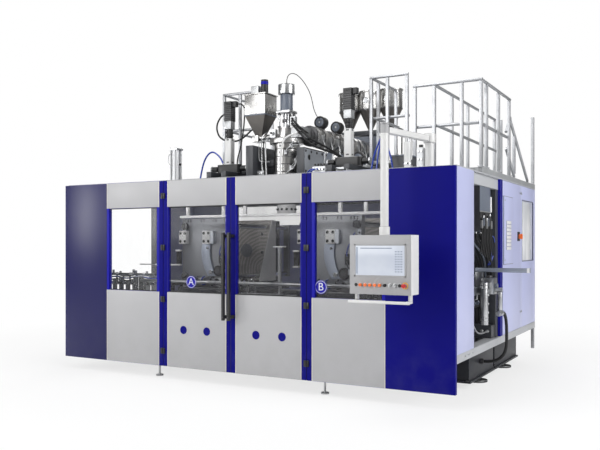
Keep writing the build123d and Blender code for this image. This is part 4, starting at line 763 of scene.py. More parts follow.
class FrontDresser(bpy.types.Operator):
    """Corner panels, windows, doors, hinges, handles and the side and rear sheets"""
    bl_idname = "machine.dress_front"
    bl_label = "Front and doors"

    def execute(self, context):
        sizes = context.scene.machine_sizes
        # The left corner panel gets the darkened blue, a painted shade of the same paint; the right keeps the
        # plain blue
        dress("corner_panels", lambda c, s: "sheen_blue" if c.x < 0 else "blue", 2)
        dress("window_sections", lambda c, s: "jamb" if s.x < 60 else "grey", 2)
        dress("section_panes", lambda c, s: "clear_pane" if c.x < 0 else "smoke_pane", 1)
        dress("hinge_posts", lambda c, s: "blue" if s.z > 1000 else "black", 2)
        dress("body_panels", "lavender", 2, lambda p: Vector((SHEET_INSET, 0, 0)) if p.x < -2449 else None)
        trim = sizes.trim * 1000
        fixed = Shape()
        for side in SIDES:
            self.trims(fixed, side, (990 + trim / 2, 1790 - trim / 2), trim)
            for z in ((986.5, 994), (1941, 1948.5)):
                fixed.box(mirrored(side, 1012, 1768), (17, 30), z, "rubber", 1)
        fixed.badge("B", (1084, 21.5, 1093), 70)
        fixed.done("front_trim", "machine", "panel_grey")
        for side, name in SIDE_NAMES:
            dress(f"{name}_door_frame", lambda c, s: (
                "black" if s.z < 100 else "blue" if s.x < 80 else "grey"), 2)
            dress(f"{name}_door_pane", "smoke_pane", 1)
            dress(f"{name}_door_handle", "black", 4)
            door = Shape()
            self.trims(door, side, (60 + trim / 2, 870 - trim / 2), trim)
            for x in (320, 640):
                door.turned((side * x, 0.5, 565), (side * x, -3.0, 565),
                            [(0, 46), (0.6, 46), (0.9, 44.5), (0.95, 40), (0.8, 38)], "blue", 40)
            for edge in ((60.5, 72), (858, 869.5)):
                door.box(mirrored(side, *edge), (2, 48), (987, 1948), "jamb", 1)
            for z in ((986.5, 996), (1939, 1948.5)):
                door.box(mirrored(side, 74, 856), (17, 30), z, "rubber", 1)
            if side < 0:
                door.badge("A", (-549, 21.5, 1104), 70)
            door.done(f"{name}_door_trim", f"{name}_door", "panel_grey")
            grip = grid((side * 35,), -109, (746, 1614), FRONT)
            scatter(f"{name}_handle_screws", f"{name}_door", "bolt", grip, 0.006, 0.002,
                    "gunmetal")
        self.sheets(sizes)
        return {"FINISHED"}

    def trims(self, shape, side, edges, width):
        """Pale strips beside the posts, above and below a window."""
        for edge in edges:
            x = mirrored(side, edge - width / 2, edge + width / 2)
            for z in SHEET_ROWS:
                shape.box(x, (-1.2, 2), z, "cream", 0.3)

    def sheets(self, sizes):
        """Vents, catches and screws of the rear and side sheets; each vent is a black patch behind its slats,
        painted shade for the dark inside.
        """
        back = Shape()
        slats, screws = [], []
        for x in (-1728, -285, 1158, 2165):
            half = 230 if x < 2000 else 170
            for z in (760, 1480):
                # Black sheet behind the slats: painted shade standing for the dark inside of the vent
                back.box((x - half, x + half), (REAR_SHEET, 3512), (z - 110, z + 110), "black", 1)
                for across, up in rim_strips((x - half, x + half), (z - 110, z + 110), 14):
                    back.box(across, (REAR_SHEET, 3517), up, "lavender", 2)
                for k in range(sizes.slats):
                    step = 220 / sizes.slats
                    slats.append(((x, 3514, z - 110 + step * (k + 0.5)), (0, 0.82, -0.57), half / 500))
        for x, top in ((-1728, 1760), (-285, 2190), (1158, 2190)):
            for dx in (-690, 690):
                for z in (580, 1150, top):
                    back.rod(x + dx, (REAR_SHEET, 3516), z, 19, "black", 28, 2)
                    back.box((x + dx - 4, x + dx + 4), (3515, 3521), (z - 14, z + 14), "gunmetal", 1)
                for z in range(700, top - 60, 220):
                    screws.append(((x + dx, 3510, z), REAR))
        left = -2480 + SHEET_INSET
        for y0, y1 in ((50, 610), (1670, 2590), (2590, 3510)):
            y = (y0 + y1) / 2
            for dy in (y0 + 36, y1 - 36):
                for z in (620, 1375, 2130):
                    back.rod((left + 1, left - 3.6), dy, z, 17, "black", 28, 1.2)
                for z in range(760, 2100, 190):
                    screws.append(((left + 3, dy, z), (-1, 0, 0)))
            if y1 - y0 > 800:
                for z in (800, 1850):
                    # Black sheet behind the slats: painted shade standing for the dark inside of the vent
                    back.box((left - 0.6, left + 2), (y - 210, y + 210), (z - 105, z + 105), "black", 0.4)
                    for across, up in rim_strips((y - 210, y + 210), (z - 105, z + 105), 12):
                        back.box((left - 3.4, left + 2), across, up, "lavender", 1)
                    for k in range(sizes.slats):
                        level = z - 105 + 210 / sizes.slats * (k + 0.5)
                        back.box((left - 3.2, left + 2), (y - 209, y + 209), (level - 4, level + 2.5),
                                 "lavender", 0.8)
        back.done("sheet_fittings", "machine", "side_lavender")
        for half in sorted({row[2] for row in slats}):
            rows = [row[:2] for row in slats if row[2] == half]
            scatter(f"rear_slats_{round(half * 1000)}", "machine", "slat", rows, half, 0.005,
                    "lavender")
        scatter("sheet_screws", "machine", "bolt", screws, sizes.screw, 0.0035, "silver")


class CabinetDresser(bpy.types.Operator):
    """Electrical cabinet, its doors and the main switch"""
    bl_idname = "machine.dress_cabinet"
    bl_label = "Cabinet"

    def execute(self, context):
        dress("electrical_cabinet", lambda c, s: (
            "slate" if 60 < s.z < 450 else "blue" if s.x < 40 and s.y < 120 and c.x > 2400 else
            "dark" if c.y < 1760 and s.y < 120 else "white" if s.x < 30 and c.y > 2000 else "frame"), 2)
        dress("cabinet_front_door", lambda c, s: (
            "white" if s.z < 60 else "black" if s.z < 150 else "lavender"), 1.5)
        dress("cabinet_rear_door", lambda c, s: "cabinet_pane" if s.x < 15 else "lavender", 1.5)
        dress("main_switch", "orange", 2)
        strip = Shape()
        strip.box((2395, 2479.5), (1666.5, 1670), (502, 2248), "jamb", 1)
        strip.done("cabinet_edge_strip", "machine", "panel_blue")
        front = Shape()
        for z in (1345, 2025):
            front.rod((2487, 2492), 1830, z, 11, "alloy", 24, 1)
            front.box((2491.5, 2494), (1828.5, 1831.5), (z - 7, z + 7), "black", 0.4)
        self.locks(front, 2625)
        front.box((2488, 2489.5), (2496, 2584), (1576, 1664), "black", 0.5)
        for y, z in rim_strips((1790, 2230), (1300, 2070), 5):
            front.box((2480, 2485), y, z, "slate", 1)
        front.done("cabinet_front_fittings", "cabinet_front_door", "side_lavender")
        rear = Shape()
        for y, z in rim_strips((2741, 3389), (1319, 2071), 6, 7):
            rear.box((2470, 2482), y, z, "rubber", 1.5)
        self.locks(rear, 2697)
        rear.done("cabinet_rear_fittings", "cabinet_rear_door", "side_lavender")
        ducts = Shape()
        for z in (770, 1130, 1520, 1930):
            ducts.box((1925, 1965), (1800, 3370), (z - 24, z + 24), "frame", 2)
        for y in (1770, 2060, 2340, 2620, 2905, 3190):
            ducts.box((1925, 1960), (y - 22, y + 22), (560, 2080), "frame", 2)
        ducts.done("cabinet_ducts", "machine", "frame_grey")
        return {"FINISHED"}

    def locks(self, shape, y):
        """Quarter-turn locks of a cabinet door."""
        for z in LOCK_LEVELS:
            shape.rod((2479, 2485), y, z, 15, "alloy", 28, 1.5)
            shape.box((2484.5, 2487), (y - 2, y + 2), (z - 9, z + 9), "black", 0.5)


class HeadDresser(bpy.types.Operator):
    """Die head, actuator, supports, colour hopper and blow units"""
    bl_idname = "machine.dress_head"
    bl_label = "Head and blow units"

    def execute(self, context):
        # The steel die ring low on the head takes near-white paint as a painted highlight against the shade
        # under the roof
        dress("die_head", lambda c, s: (
            "bright" if c.z < 2000 else "alloy" if s.x < 200 and s.z < 160 else
            "gunmetal" if s.z > 200 else "heated"))
        dress("parison_mandrel", "chrome", 1)
        dress("parison_actuator", lambda c, s: (
            "chrome" if s.x < 40 and s.z > 60 else "black" if s.x < 40 else
            "slate" if c.z < 3300 and s.z > 100 else "silver"))
        dress("head_support", "dark")
        dress("blow_units", lambda c, s: (
            "white" if s.z > 200 else "black" if c.z < 2950 else "alloy"), 2)
        dress("blow_motors", "black", 2)
        for _, name in SIDE_NAMES:
            dress(f"{name}_blow_pin", "chrome", 2)
        dress("colour_hopper", lambda c, s: (
            "black" if c.z > 3420 and s.z > 150 else "alloy" if c.z > 3420 and s.z > 60 else
            "funnel" if 2950 < c.z < 3100 else "stainless"), 2)
        self.head()
        self.units()
        ring = []
        for count, radius, z, up in ((16, 186, 2800, 1), (12, 95, 1890, -1)):
            for k in range(count):
                angle = 2 * math.pi * (k + 0.5) / count
                ring.append(((radius * math.cos(angle), DIE_Y + radius * math.sin(angle), z), (0, 0, up)))
        for k in range(12):
            angle = 2 * math.pi * k / 12
            ring.append(((116 * math.cos(angle), DIE_Y + 116 * math.sin(angle), 1950),
                         (math.cos(angle), math.sin(angle), 0)))
        for y in (1040, 1180, 1320, 1460, 1560):
            for z in (2390, 2630):
                ring.append(((350, y, z), (1, 0, 0)))
                ring.append(((-400, y, z), (-1, 0, 0)))
        scatter("head_bolts", "machine", "bolt", ring, 0.011, 0.011, "gunmetal")
        return {"FINISHED"}

    def head(self):
        """Heater bands, terminals, pipes and conduits about the head."""
        work = Shape()
        levels = ((2312, 2396), (2404, 2488), (2496, 2580), (2588, 2672), (2680, 2742))
        for number, (low, high) in enumerate(levels):
            work.band((0, DIE_Y), 153.5, low, high, "stainless" if number % 2 else "heated")
            turn = math.radians(-62 + 24 * (number % 3))
            x, y = 168 * math.cos(turn), DIE_Y + 168 * math.sin(turn)
            mid = (low + high) / 2
            work.box((x - 22, x + 22), (y - 22, y + 22), (mid - 24, mid + 24), "alloy", 3)
            work.pipe(((x, y - 18, mid), (x + 20, y - 60, mid + 4), (x + 70, y - 70, mid + 40),
                       (240, 1010, mid + 90), (252, 1080, 2700)), 6, "silver")
        for low, high in ((2024, 2106), (2114, 2196), (2204, 2286)):
            work.band((0, DIE_Y), 98, low, high, "heated")
        work.rod(0, DIE_Y, (2942, 3118), 36, "chrome", 32, 3)
        work.rod(0, DIE_Y, (3010, 3050), 52, "gunmetal", 32, 4)
        for dx, dy in ((-66, -66), (66, -66), (-66, 66), (66, 66)):
            for z in (2944, 3096):
                work.rod(dx, DIE_Y + dy, (z, z + 20), 22, "gunmetal", 6, 2)
        work.box((104, 176), (1100, 1150), (2950, 3060), "alloy", 4)
        for z in (2975, 3005, 3035):
            work.rod(140, (1100, 1078), z, 10, "black", 20, 2)
            work.pipe(((140, 1080, z), (140, 1050, z - 4), (190, 1046, z - 50), (262, 1080, z - 120),
                       (300, 1200, 2860)), 6, "rubber")
        work.box((-196, -112), (1120, 1180), (2830, 2930), "silver", 4)
        work.rod(-154, (1120, 1090), 2880, 24, "chrome", 28, 3)
        work.rod(-154, (1092, 1078), 2880, 14, "black", 24, 2)
        for dz in (0, 62):
            work.pipe(((-60, 1330, 3230 - dz), (30, 1180, 3170 - dz), (120, 1108, 3040 - dz),
                       (230, 1096, 2930 - dz), (330, 1130, 2800 - dz), (440, 1240, 2730 - dz),
                       (600, 1420, 2610), (640, 1600, 2520)), 13, "rubber")
        work.pipe(((215, 1128, 2860), (190, 1060, 2840), (120, 1004, 2810), (62, 1000, 2750),
                   (34, 1002, 2640), (26, 1004, 2500), (26, 1004, 2270)), 12, "white")
        work.pipe(((-190, 1050, 2780), (-262, 1016, 2780), (-284, 1012, 2758), (-284, 1012, 2560),
                   (-262, 1018, 2528), (-152, 1046, 2524)), 6, "silver")
        for k, x in enumerate((-260, -232, -204)):
            work.pipe(((x, 1150, 2900 - 30 * k), (x - 6, 1060, 2860 - 24 * k), (x + 10, 1016, 2700),
                       (x + 24, 1012, 2500), (x + 30, 1020, 2270)), 6 + k, ("chrome", "rubber", "silver")[k])
        work.box((-304, -206), (1000, 1060), (2352, 2420), "alloy", 4)
        for x in (-285, -255, -225):
            work.rod(x, (1000, 982), 2386, 11, "chrome", 20, 2)
        work.turned((352, 1130, 2560), (350, 1130, 2560), [(0, 34), (1, 34)], "black", 28)
        work.box((350.2, 352), (1012, 1588), (2366, 2656), "ground", 1)
        work.box((352, 353), (1117, 1143), (2530, 2590), "black", 0.2)
        work.box((470, 640), (985, 1045), (2352, 2430), "alloy", 4)
        for x in (492, 532, 572, 612):
            work.rod(x, (985, 958), 2396, 13, "chrome", 20, 2)
            work.rod(x, 1015, (2430, 2462), 12, "black", 20, 2)
        work.rod((640, 900), 1015, 2390, 20, "silver", 28, 3)
        work.rod((900, 960), 1015, 2390, 34, "slate", 28, 4)
        for x, bend in ((505, 60), (560, 90)):
            work.pipe(((x, 962, 2396), (x - 10, 920, 2400), (x - bend, 900, 2350), (x - bend - 60, 930, 2290),
                       (x - bend - 90, 980, 2266)), 7, "air_blue")
        work.turned((-372, 1290, 3530), (-372, 1290, 3566), [(0, 46.6), (0.05, 48), (0.95, 48), (1, 46.6)],
                    "jamb", 32)
        work.done("head_fittings", "machine", "heater_steel")

    def units(self):
        """Stubs, collars and air pipes of the blow units, and fittings of the colour hopper."""
        work = Shape()
        for side in SIDES:
            x = side * STATION
            for way in SIDES:
                work.rod((x + way * 176, x + way * 258), DIE_Y, 2488, 35, "black", 28, 4)
                work.rod((x + way * 258, x + way * 276), DIE_Y, 2488, 41, "silver", 28, 3)
            for z in (2560, 2846):
                work.rod(x, DIE_Y, (z, z + 16), 48, "gunmetal", 32, 2)
            for z in (2896, 2936):
                work.rod(x, DIE_Y, (z, z + 18), 50, "black", 8, 3)
            for k in range(4):
                angle = math.radians(45 + 90 * k)
                dx, dy = 38 * math.cos(angle), 38 * math.sin(angle)
                work.rod(x + dx, DIE_Y + dy, (3082, 3094), 6, "silver", 12, 1)
            for z in range(3112, 3300, 24):
                work.box((x - 53.5, x + 53.5), (DIE_Y - 53.5, DIE_Y + 53.5), (z, z + 5), "gunmetal", 1)
        work.pipe(((-1326, 1200, 2262), (-1300, 1200, 2420), (-1236, 1200, 2640), (-1118, 1200, 2740),
                   (-985, 1196, 2650), (-935, 1190, 2560), (-930, 1190, 2536)), 11, "air_blue")
        work.rod(-1326, 1200, (2260, 2292), 20, "chrome", 6, 2)
        work.rod(-930, 1190, (2536, 2560), 18, "chrome", 6, 2)
        work.pipe(((-888, 1200, 3194), (-950, 1200, 3190), (-1030, 1200, 3100), (-1046, 1200, 3000),
                   (-1000, 1210, 2890), (-900, 1280, 2846), (-760, 1290, 2850), (-640, 1280, 2910),
                   (-540, 1270, 2985), (-470, 1268, 2990)), 11, "rubber")
        work.rod((-892, -908), 1200, 3194, 17, "black", 24, 2)
        for x in (-1420, -1385):
            work.rod(x, 1160, (2260, 2330), 14, "silver", 24, 3)
            work.rod(x, 1160, (2330, 2352), 8, "black", 16, 2)
        for x in (-560, -300):
            for y in (1170, 1410):
                work.rod(x, y, (3404, 3412), 9, "gunmetal", 6, 1)
        work.box((-582, -278), (1146, 1150), (3128, 3146), "slate", 1)
        work.box((-280, -276), (1150, 1430), (3128, 3146), "slate", 1)
        work.box((-470, -390), (1146, 1149.5), (3250, 3300), "stainless", 2)
        work.done("unit_fittings", "machine", "heater_steel")


class ExtruderDresser(bpy.types.Operator):
    """Barrel, drive, blowers and material hoppers"""
    bl_idname = "machine.dress_extruder"
    bl_label = "Extruder"

    def execute(self, context):
        dress("extruder_barrel", "gunmetal", 3)
        dress("extruder_drive", "slate", 6)
        dress("barrel_blowers", "black", 3)
        dress("material_hoppers", lambda c, s: (
            "dark" if c.z < 3060 and s.x != s.y else "funnel" if 3180 < c.z < 3230 else "stainless"), 2)
        self.fittings()
        return {"FINISHED"}

    def fittings(self):
        """Heater jackets, fan grilles, cooling fins, drive cover and hopper glasses."""
        work = Shape()
        for number, y in enumerate(range(1420, 3000, 210)):
            work.turned((200, y, 2860), (200, y + 176, 2860), [(0, 126), (0.02, 128), (0.98, 128), (1, 126)],
                        "heated" if number % 2 else "stainless", 40)
            work.box((318, 352), (y + 60, y + 112), (2800, 2872), "alloy", 3)
            work.pipe(((345, y + 86, 2810), (362, y + 86, 2770), (372, y + 80, 2680), (376, y + 60, 2580),
                       (376, y + 40, 2510)), 8, "silver")
            for dy in (14, 162):
                work.box((192, 208), (y + dy - 5, y + dy + 5), (2984, 2991), "gunmetal", 1)
        work.box((352, 402), (1430, 3040), (2500, 2512), "alloy", 1)
        for y, z, x in ((1684, 3070, 200), (2144, 3070, 200), (2144, 2647.5, 520)):
            work.turned((x, y + 8, z), (x, y - 2, z), [(0, 78), (0.6, 78), (1, 70)], "rubber", 36)
            work.turned((x, y + 2, z), (x, y - 5, z), [(0, 56), (0.7, 56), (1, 50)], "slate", 36)
            for k in range(5):
                radius = 12 + 9 * k
                bar = z + 10 * (k - 2)
                work.box((x - radius, x + radius), (y - 6, y - 4), (bar - 2, bar + 2), "gunmetal", 0.5)
            work.rod(x, (y - 5, y - 8), z, 12, "alloy", 24, 1)
        for k in range(28):
            angle = 2 * math.pi * k / 28
            if math.sin(angle) < 0.93:
                work.fin((-190, 2720), angle, 150, 166, 5, (2960, 3330), "slate")
        work.turned((-190, 3340, 2720), (-190, 3404, 2720), [(0, 163), (0.8, 163), (1, 150)], "slate", 40)
        bolts = []
        for x in (20, 130, 270, 380):
            for z in (2540, 3080):
                bolts.append(((x, 3400, z), REAR))
                bolts.append(((x, 3050, z), FRONT))
        for z in (2640, 2760, 2880, 3000):
            bolts += [((x, 3400, z), REAR) for x in (20, 380)]
        work.box((60, 340), (3398, 3410), (2620, 3000), "slate", 6)
        work.rod(200, (3408, 3440), 2810, 90, "dark", 40, 6)
        for k in range(8):
            angle = 2 * math.pi * k / 8
            bolts.append(((200 + 70 * math.cos(angle), 3440, 2810 + 70 * math.sin(angle)), REAR))
        scatter("drive_bolts", "machine", "bolt", bolts, 0.012, 0.012, "silver")
        for x in (200, 500, 800):
            work.band((x, 2600), 152.5, 3322, 3342, "gunmetal")
            work.rod(x, (2452, 2446), 3450, 34, "cabinet_pane", 32, 2)
            work.turned((x, 2452, 3450), (x, 2444, 3450), [(0, 44), (0.7, 44), (0.8, 40), (0.6, 36)],
                        "chrome", 32)
            for dx in (-120, 120):
                work.box((x + dx - 9, x + dx + 9), (2446, 2462), (3540, 3572), "silver", 2)
        work.done("extruder_fittings", "machine", "heater_steel")


class StationDresser(bpy.types.Operator):
    """Clamp carriages, platens, brackets and take-out arms"""
    bl_idname = "machine.dress_stations"
    bl_label = "Clamp stations"

    def execute(self, context):
        def plate_rule(c, s):
            if s.y > 300:
                return "chrome"
            if s.x > 500:
                return "platen"
            if s.z < 30 or abs(s.x - s.z) < 6:
                return "gunmetal"
            if s.y < 30:
                return "arm"
            return "white" if s.x > 100 and s.z < 300 else "platen"

        for side, name in SIDE_NAMES:
            body = f"{name}_front_platen"
            dress(f"{name}_carriage", lambda c, s: (
                "silver" if s.z < 40 or (s.y > 200 and s.x < 200) else "dark"))
            dress(body, plate_rule)
            dress(f"{name}_rear_platen", lambda c, s: f"{name}_face" if s.x > 500 else plate_rule(c, s))
            centre = side * STATION
            bolted = (
                ("bracket_bolts", body, (-366, -298, -10, 58), 660, (1562, 1660), FRONT,
                 0.012, 0.006, "black"),
                ("platen_plugs", body, (-330, -290, -250, -90, -50, 90, 130, 250, 290, 330), 720,
                 (1806, 1826), FRONT, 0.006, 0.0015, "black"),
                ("strip_bolts", body, (358,), 706, range(1220, 1680, 72), FRONT,
                 0.008, 0.005, "gunmetal"),
                ("rear_bolts", f"{name}_rear_platen", (-340, -170, 170, 340), 1690, (1120, CLAMP_Z, 1770),
                 REAR, 0.016, 0.012, "gunmetal"),
            )
            for piece, carrier, xs, y, zs, facing, radius, height, key in bolted:
                places = grid([centre + x for x in xs], y, zs, facing)
                scatter(f"{name}_{piece}", carrier, "bolt", places, radius, height, key)
            self.front_fittings(name, side, body)
            self.rear_fittings(name, centre)
            self.ram_fittings(name, centre)
        self.bed_fittings()
        return {"FINISHED"}

    def front_fittings(self, name, side, body):
        """Reach bars, strips, valves, pads and hoses of a front platen."""
        work = Shape(side * STATION)
        for z, reach in ((1262, 780 if side < 0 else 452), (1440, 452)):
            work.box((-reach, -384), (668, 719), (z, z + 18), "bright", 2)
        if side < 0:
            work.box((-1040, -770), (680, 707), (1265, 1277), "rail", 2)
        work.box((336, 379), (706, 719), (1186, 1690), "ground", 2)
        work.box((82, 128), (664, 719), (1534, 1688), "ground", 4)
        work.rod(176, (719, 684), 1204, 64, "black", 36, 6)
        work.rod(176, (686, 678), 1204, 34, "gunmetal", 28, 3)
        work.box((236, 300), (672, 719), (1190, 1262), "ground", 4)
        for k, x in enumerate((-300, -236, -130, -20, 110)):
            work.pipe(((x, 700, 1130), (x, 640, 1132), (x + 6, 618, 1080 - 8 * k),
                       (x + 40, 612, 1034), (x + 84, 620, 1040 + 6 * k),
                       (x + 96, 660, 1070), (x + 96, 722, 1074)),
                      (12, 9, 14, 8, 11)[k], ("rubber", "rubber", "slate", "air_blue", "rubber")[k])
        work.box((-452, -388), (684, 719), (1280, 1440), "black", 4)
        work.box((190, 262), (690, 719), (1300, 1420), "black", 3)
        for z in (1325, 1360, 1395):
            work.rod(226, (690, 676), z, 12, "chrome", 20, 2)
        work.rod(83, (694, 662), 1190, 26, "chrome", 28, 3)
        work.rod(24, (694, 682), 1480, 18, "chrome", 28, 3)
        for x in (-190, -80, 210):
            work.box((x - 34, x + 34), (672, 719), (1060, 1118), "alloy", 4)
            work.rod(x, (672, 632), 1088, 16, "chrome", 24, 3)
            work.rod(x, (636, 612), 1088, 26, "rubber", 24, 4)
        work.pipe(((226, 680, 1395), (226, 655, 1400), (240, 650, 1480),
                   (290, 660, 1580), (300, 690, 1640), (300, 722, 1650)), 6, "air_blue")
        work.pipe(((226, 680, 1325), (226, 652, 1320), (250, 650, 1260),
                   (330, 668, 1230), (350, 700, 1235), (350, 722, 1240)), 6, "rubber")
        work.done(f"{name}_front_platen_fittings", body, "platen_steel")

    def rear_fittings(self, name, centre):
        """Edge strips, gusset and bosses of a rear platen."""
        plate = Shape(centre)
        for way in SIDES:
            plate.box(mirrored(way, 378, 384), (1604, 1686), (1056, 1834), "ground", 1)
        plate.hull([(x, y, z) for x in (384, 395) for y,
                    z in ((1684, 1834), (1592, 1834), (1290, 1100), (1290, 1056), (1684, 1056))], "white", 2)
        for x in (-240, 240):
            for z in (1180, 1420, 1660):
                plate.rod(x, (1602, 1590), z, 21, "gunmetal", 24, 3)
        plate.rod(0, (1602, 1584), CLAMP_Z, 90, "platen", 44, 4)
        plate.done(f"{name}_rear_platen_fittings", f"{name}_rear_platen", "platen_steel")

    def ram_fittings(self, name, centre):
        """Rings, tie rods and ports of a clamp cylinder."""
        ram = Shape(centre)
        for y in (2036, 2160, 2270):
            ram.rod(0, (y, y + 20), CLAMP_Z, 92, "gunmetal", 36, 4)
        for dx in (-58, 58):
            for dz in (-58, 58):
                ram.rod(dx, (2030, 2289), CLAMP_Z + dz, 8, "silver", 16, 2)
        ram.box((-40, 40), (2040, 2150), (1526, 1570), "alloy", 4)
        ram.rod(0, 2080, (1570, 1600), 18, "chrome", 24, 2)
        ram.rod(0, 2120, (1570, 1596), 14, "black", 24, 2)
        for x in (-180, -60, 60, 180):
            for z in (1080, 1760):
                ram.rod(x, (2029, 2042), z, 17, "gunmetal", 6, 2)
        ram.done(f"{name}_ram_fittings", f"{name}_carriage", "platen_steel")

    def bed_fittings(self):
        """Conveyor, hose bridge and stands on the bed."""
        bed = Shape()
        for y in (560, 860):
            bed.box((-2330, -1296), (y, y + 60), (1012, 1048), "slate", 4)
        for x in range(-2310, -1300, 62):
            bed.rod(x, (622, 858), 1030, 20, "rubber" if x % 4 else "alloy", 20, 2)
        for x in (-1690, -1520, -1350):
            for y in (566, 866):
                bed.box((x - 24, x + 24), (y, y + 48), (906, 1012), "dark", 3)
        for k, x in enumerate(range(-2290, -1300, 110)):
            bed.box((x - 36, x + 36), (544, 560), (930, 1060 + 26 * (k % 3)),
                    ("alloy", "platen", "slate")[k % 3], 3)
            bed.rod(x, (546, 520), 1034, 15, "chrome" if k % 2 else "black", 20, 2)
            bed.box((x - 10, x + 10), (580, 600), (1046, 1132), "gunmetal", 2)
        bed.box((-2330, -1540), (574, 606), (1130, 1160), "dark", 3)
        for x, high in ((-2240, 38), (-2120, 22), (-1900, 46), (-1860, 34), (-1680, 26)):
            bed.rod(x, 590, (1158, 1160 + high), 15, "chrome", 20, 2)
            # The pale blocks along the conveyor are partly painted highlights in the dark clutter of the bed
            bed.box((x - 52, x - 22), (560, 576), (1124, 1168), "bright", 3)
        for k, z in enumerate((1062, 1094, 1120)):
            bed.pipe(((-2325, 566, z), (-2160, 548 - 6 * k, z + 32), (-1990, 566, z - 10),
                      (-1800, 552, z + 36), (-1560, 570, z - 6), (-1420, 556, z + 20), (-1300, 570, z - 20)),
                     10, ("rubber", "air_blue", "slate")[k])
        bed.box((-430, 330), (505, 590), (936, 966), "alloy", 4)
        for x in (-400, -50, 300):
            bed.box((x - 20, x + 20), (500, 596), (906, 936), "dark", 3)
        for k, x in enumerate((-410, -350, -236, -150)):
            bed.pipe(((x, 545, 966), (x, 540, 1080), (x + 30, 540, 1136 - 10 * k), (x + 84, 545, 1130),
                      (x + 110, 548, 1060), (x + 112, 548, 966)), 9,
                     ("chrome", "bright", "rubber", "chrome")[k])
        bed.box((-292, -250), (515, 560), (966, 1100), "ground", 4)
        bed.rod((-250, -150), 538, 1080, 17, "bright", 24, 3)
        bed.box((268, 302), (538, 572), (966, 1490), "alloy", 4)
        bed.box((220, 350), (522, 588), (1490, 1504), "bright", 3)
        bed.hull([(x, y, z) for y in (545, 565) for x,
                  z in ((258, 1490), (312, 1490), (290, 1330), (280, 1330))], "arm", 2)
        bed.box((1296, 1740), (560, 620), (1012, 1048), "slate", 4)
        for x in range(1310, 1740, 86):
            bed.box((x - 20, x + 20), (566, 614), (906, 1012), "dark", 3)
            bed.rod(x, (560, 530), 1030, 14, "chrome", 20, 2)
        bed.done("bed_fittings", "machine", "dark_paint")


class PanelDresser(bpy.types.Operator):
    """Control panel, its arm, screen and buttons"""
    bl_idname = "machine.dress_panel"
    bl_label = "Control panel"

    def execute(self, context):
        dress("panel_post", "white")
        dress("panel_arm", lambda c, s: "bezel" if s.z < 20 else "white")
        dress("panel_housing", "white", 4)
        dress("panel_front", "bezel", 2)
        dress("panel_screen", "screen", 1)
        for number in range(1, 6):
            dress(f"push_button_{number}", "orange", 2)
        for number in range(1, 5):
            dress(f"selector_knob_{number}", "black" if number in (1, 4) else "alloy", 1.5)
        dress("emergency_stop", "red", 3)
        self.fittings()
        return {"FINISHED"}

    def fittings(self):
        """Arm cap, button collars, screen frame and the lines on the screen."""
        cap = Shape()
        cap.rod(1965, -440, (2516, 2600), 38.6, "bezel", 40, 4)
        cap.done("arm_cap", BODY_OF["panel_arm"], "bezel_grey")
        fit = Shape()
        face = -548
        first = 1736
        fit.rod(first, (face + 0.5, face - 4), BUTTON_Z, 15, "black", 24, 1.0)
        for k in range(1, 10):
            x = first + 46.6 * k
            fit.turned((x, face + 0.5, BUTTON_Z), (x, face - 2, BUTTON_Z),
                       [(0, 19.5), (0.8, 19.5), (1, 18.5), (1, 15.8), (0, 15.8)], "alloy", 28, True)
        x = first + 466
        fit.turned((x, face + 0.5, BUTTON_Z), (x, face - 3, BUTTON_Z),
                   [(0, 30), (0.8, 30), (1, 29), (1, 20.8), (0, 20.8)], "yellow", 36, True)
        frame_x, frame_z = (1718, 2212), (1236, 1527)
        for x, z in (((1718, 1731), frame_z), ((2199, 2212), frame_z), (frame_x, (1236, 1249)),
                     (frame_x, (1514, 1527))):
            fit.box(x, (-552.5, -547), z, "bezel", 1)
        for x in (1738, 1748):
            fit.box((x, x + 6), (-552.6, -551.8), (1262, 1500), "screen_line", 0)
        for row in range(9):
            for column in range(3):
                x = 2110 + 26 * column
                z = 1280 + 22 * row
                fit.box((x, x + 16), (-552.6, -551.8), (z, z + 8), "screen_line", 0)
        fit.box((1780, 2080), (-552.6, -551.8), (1486, 1494), "screen_line", 0)
        fit.done("panel_fittings", "panel", "bezel_grey")


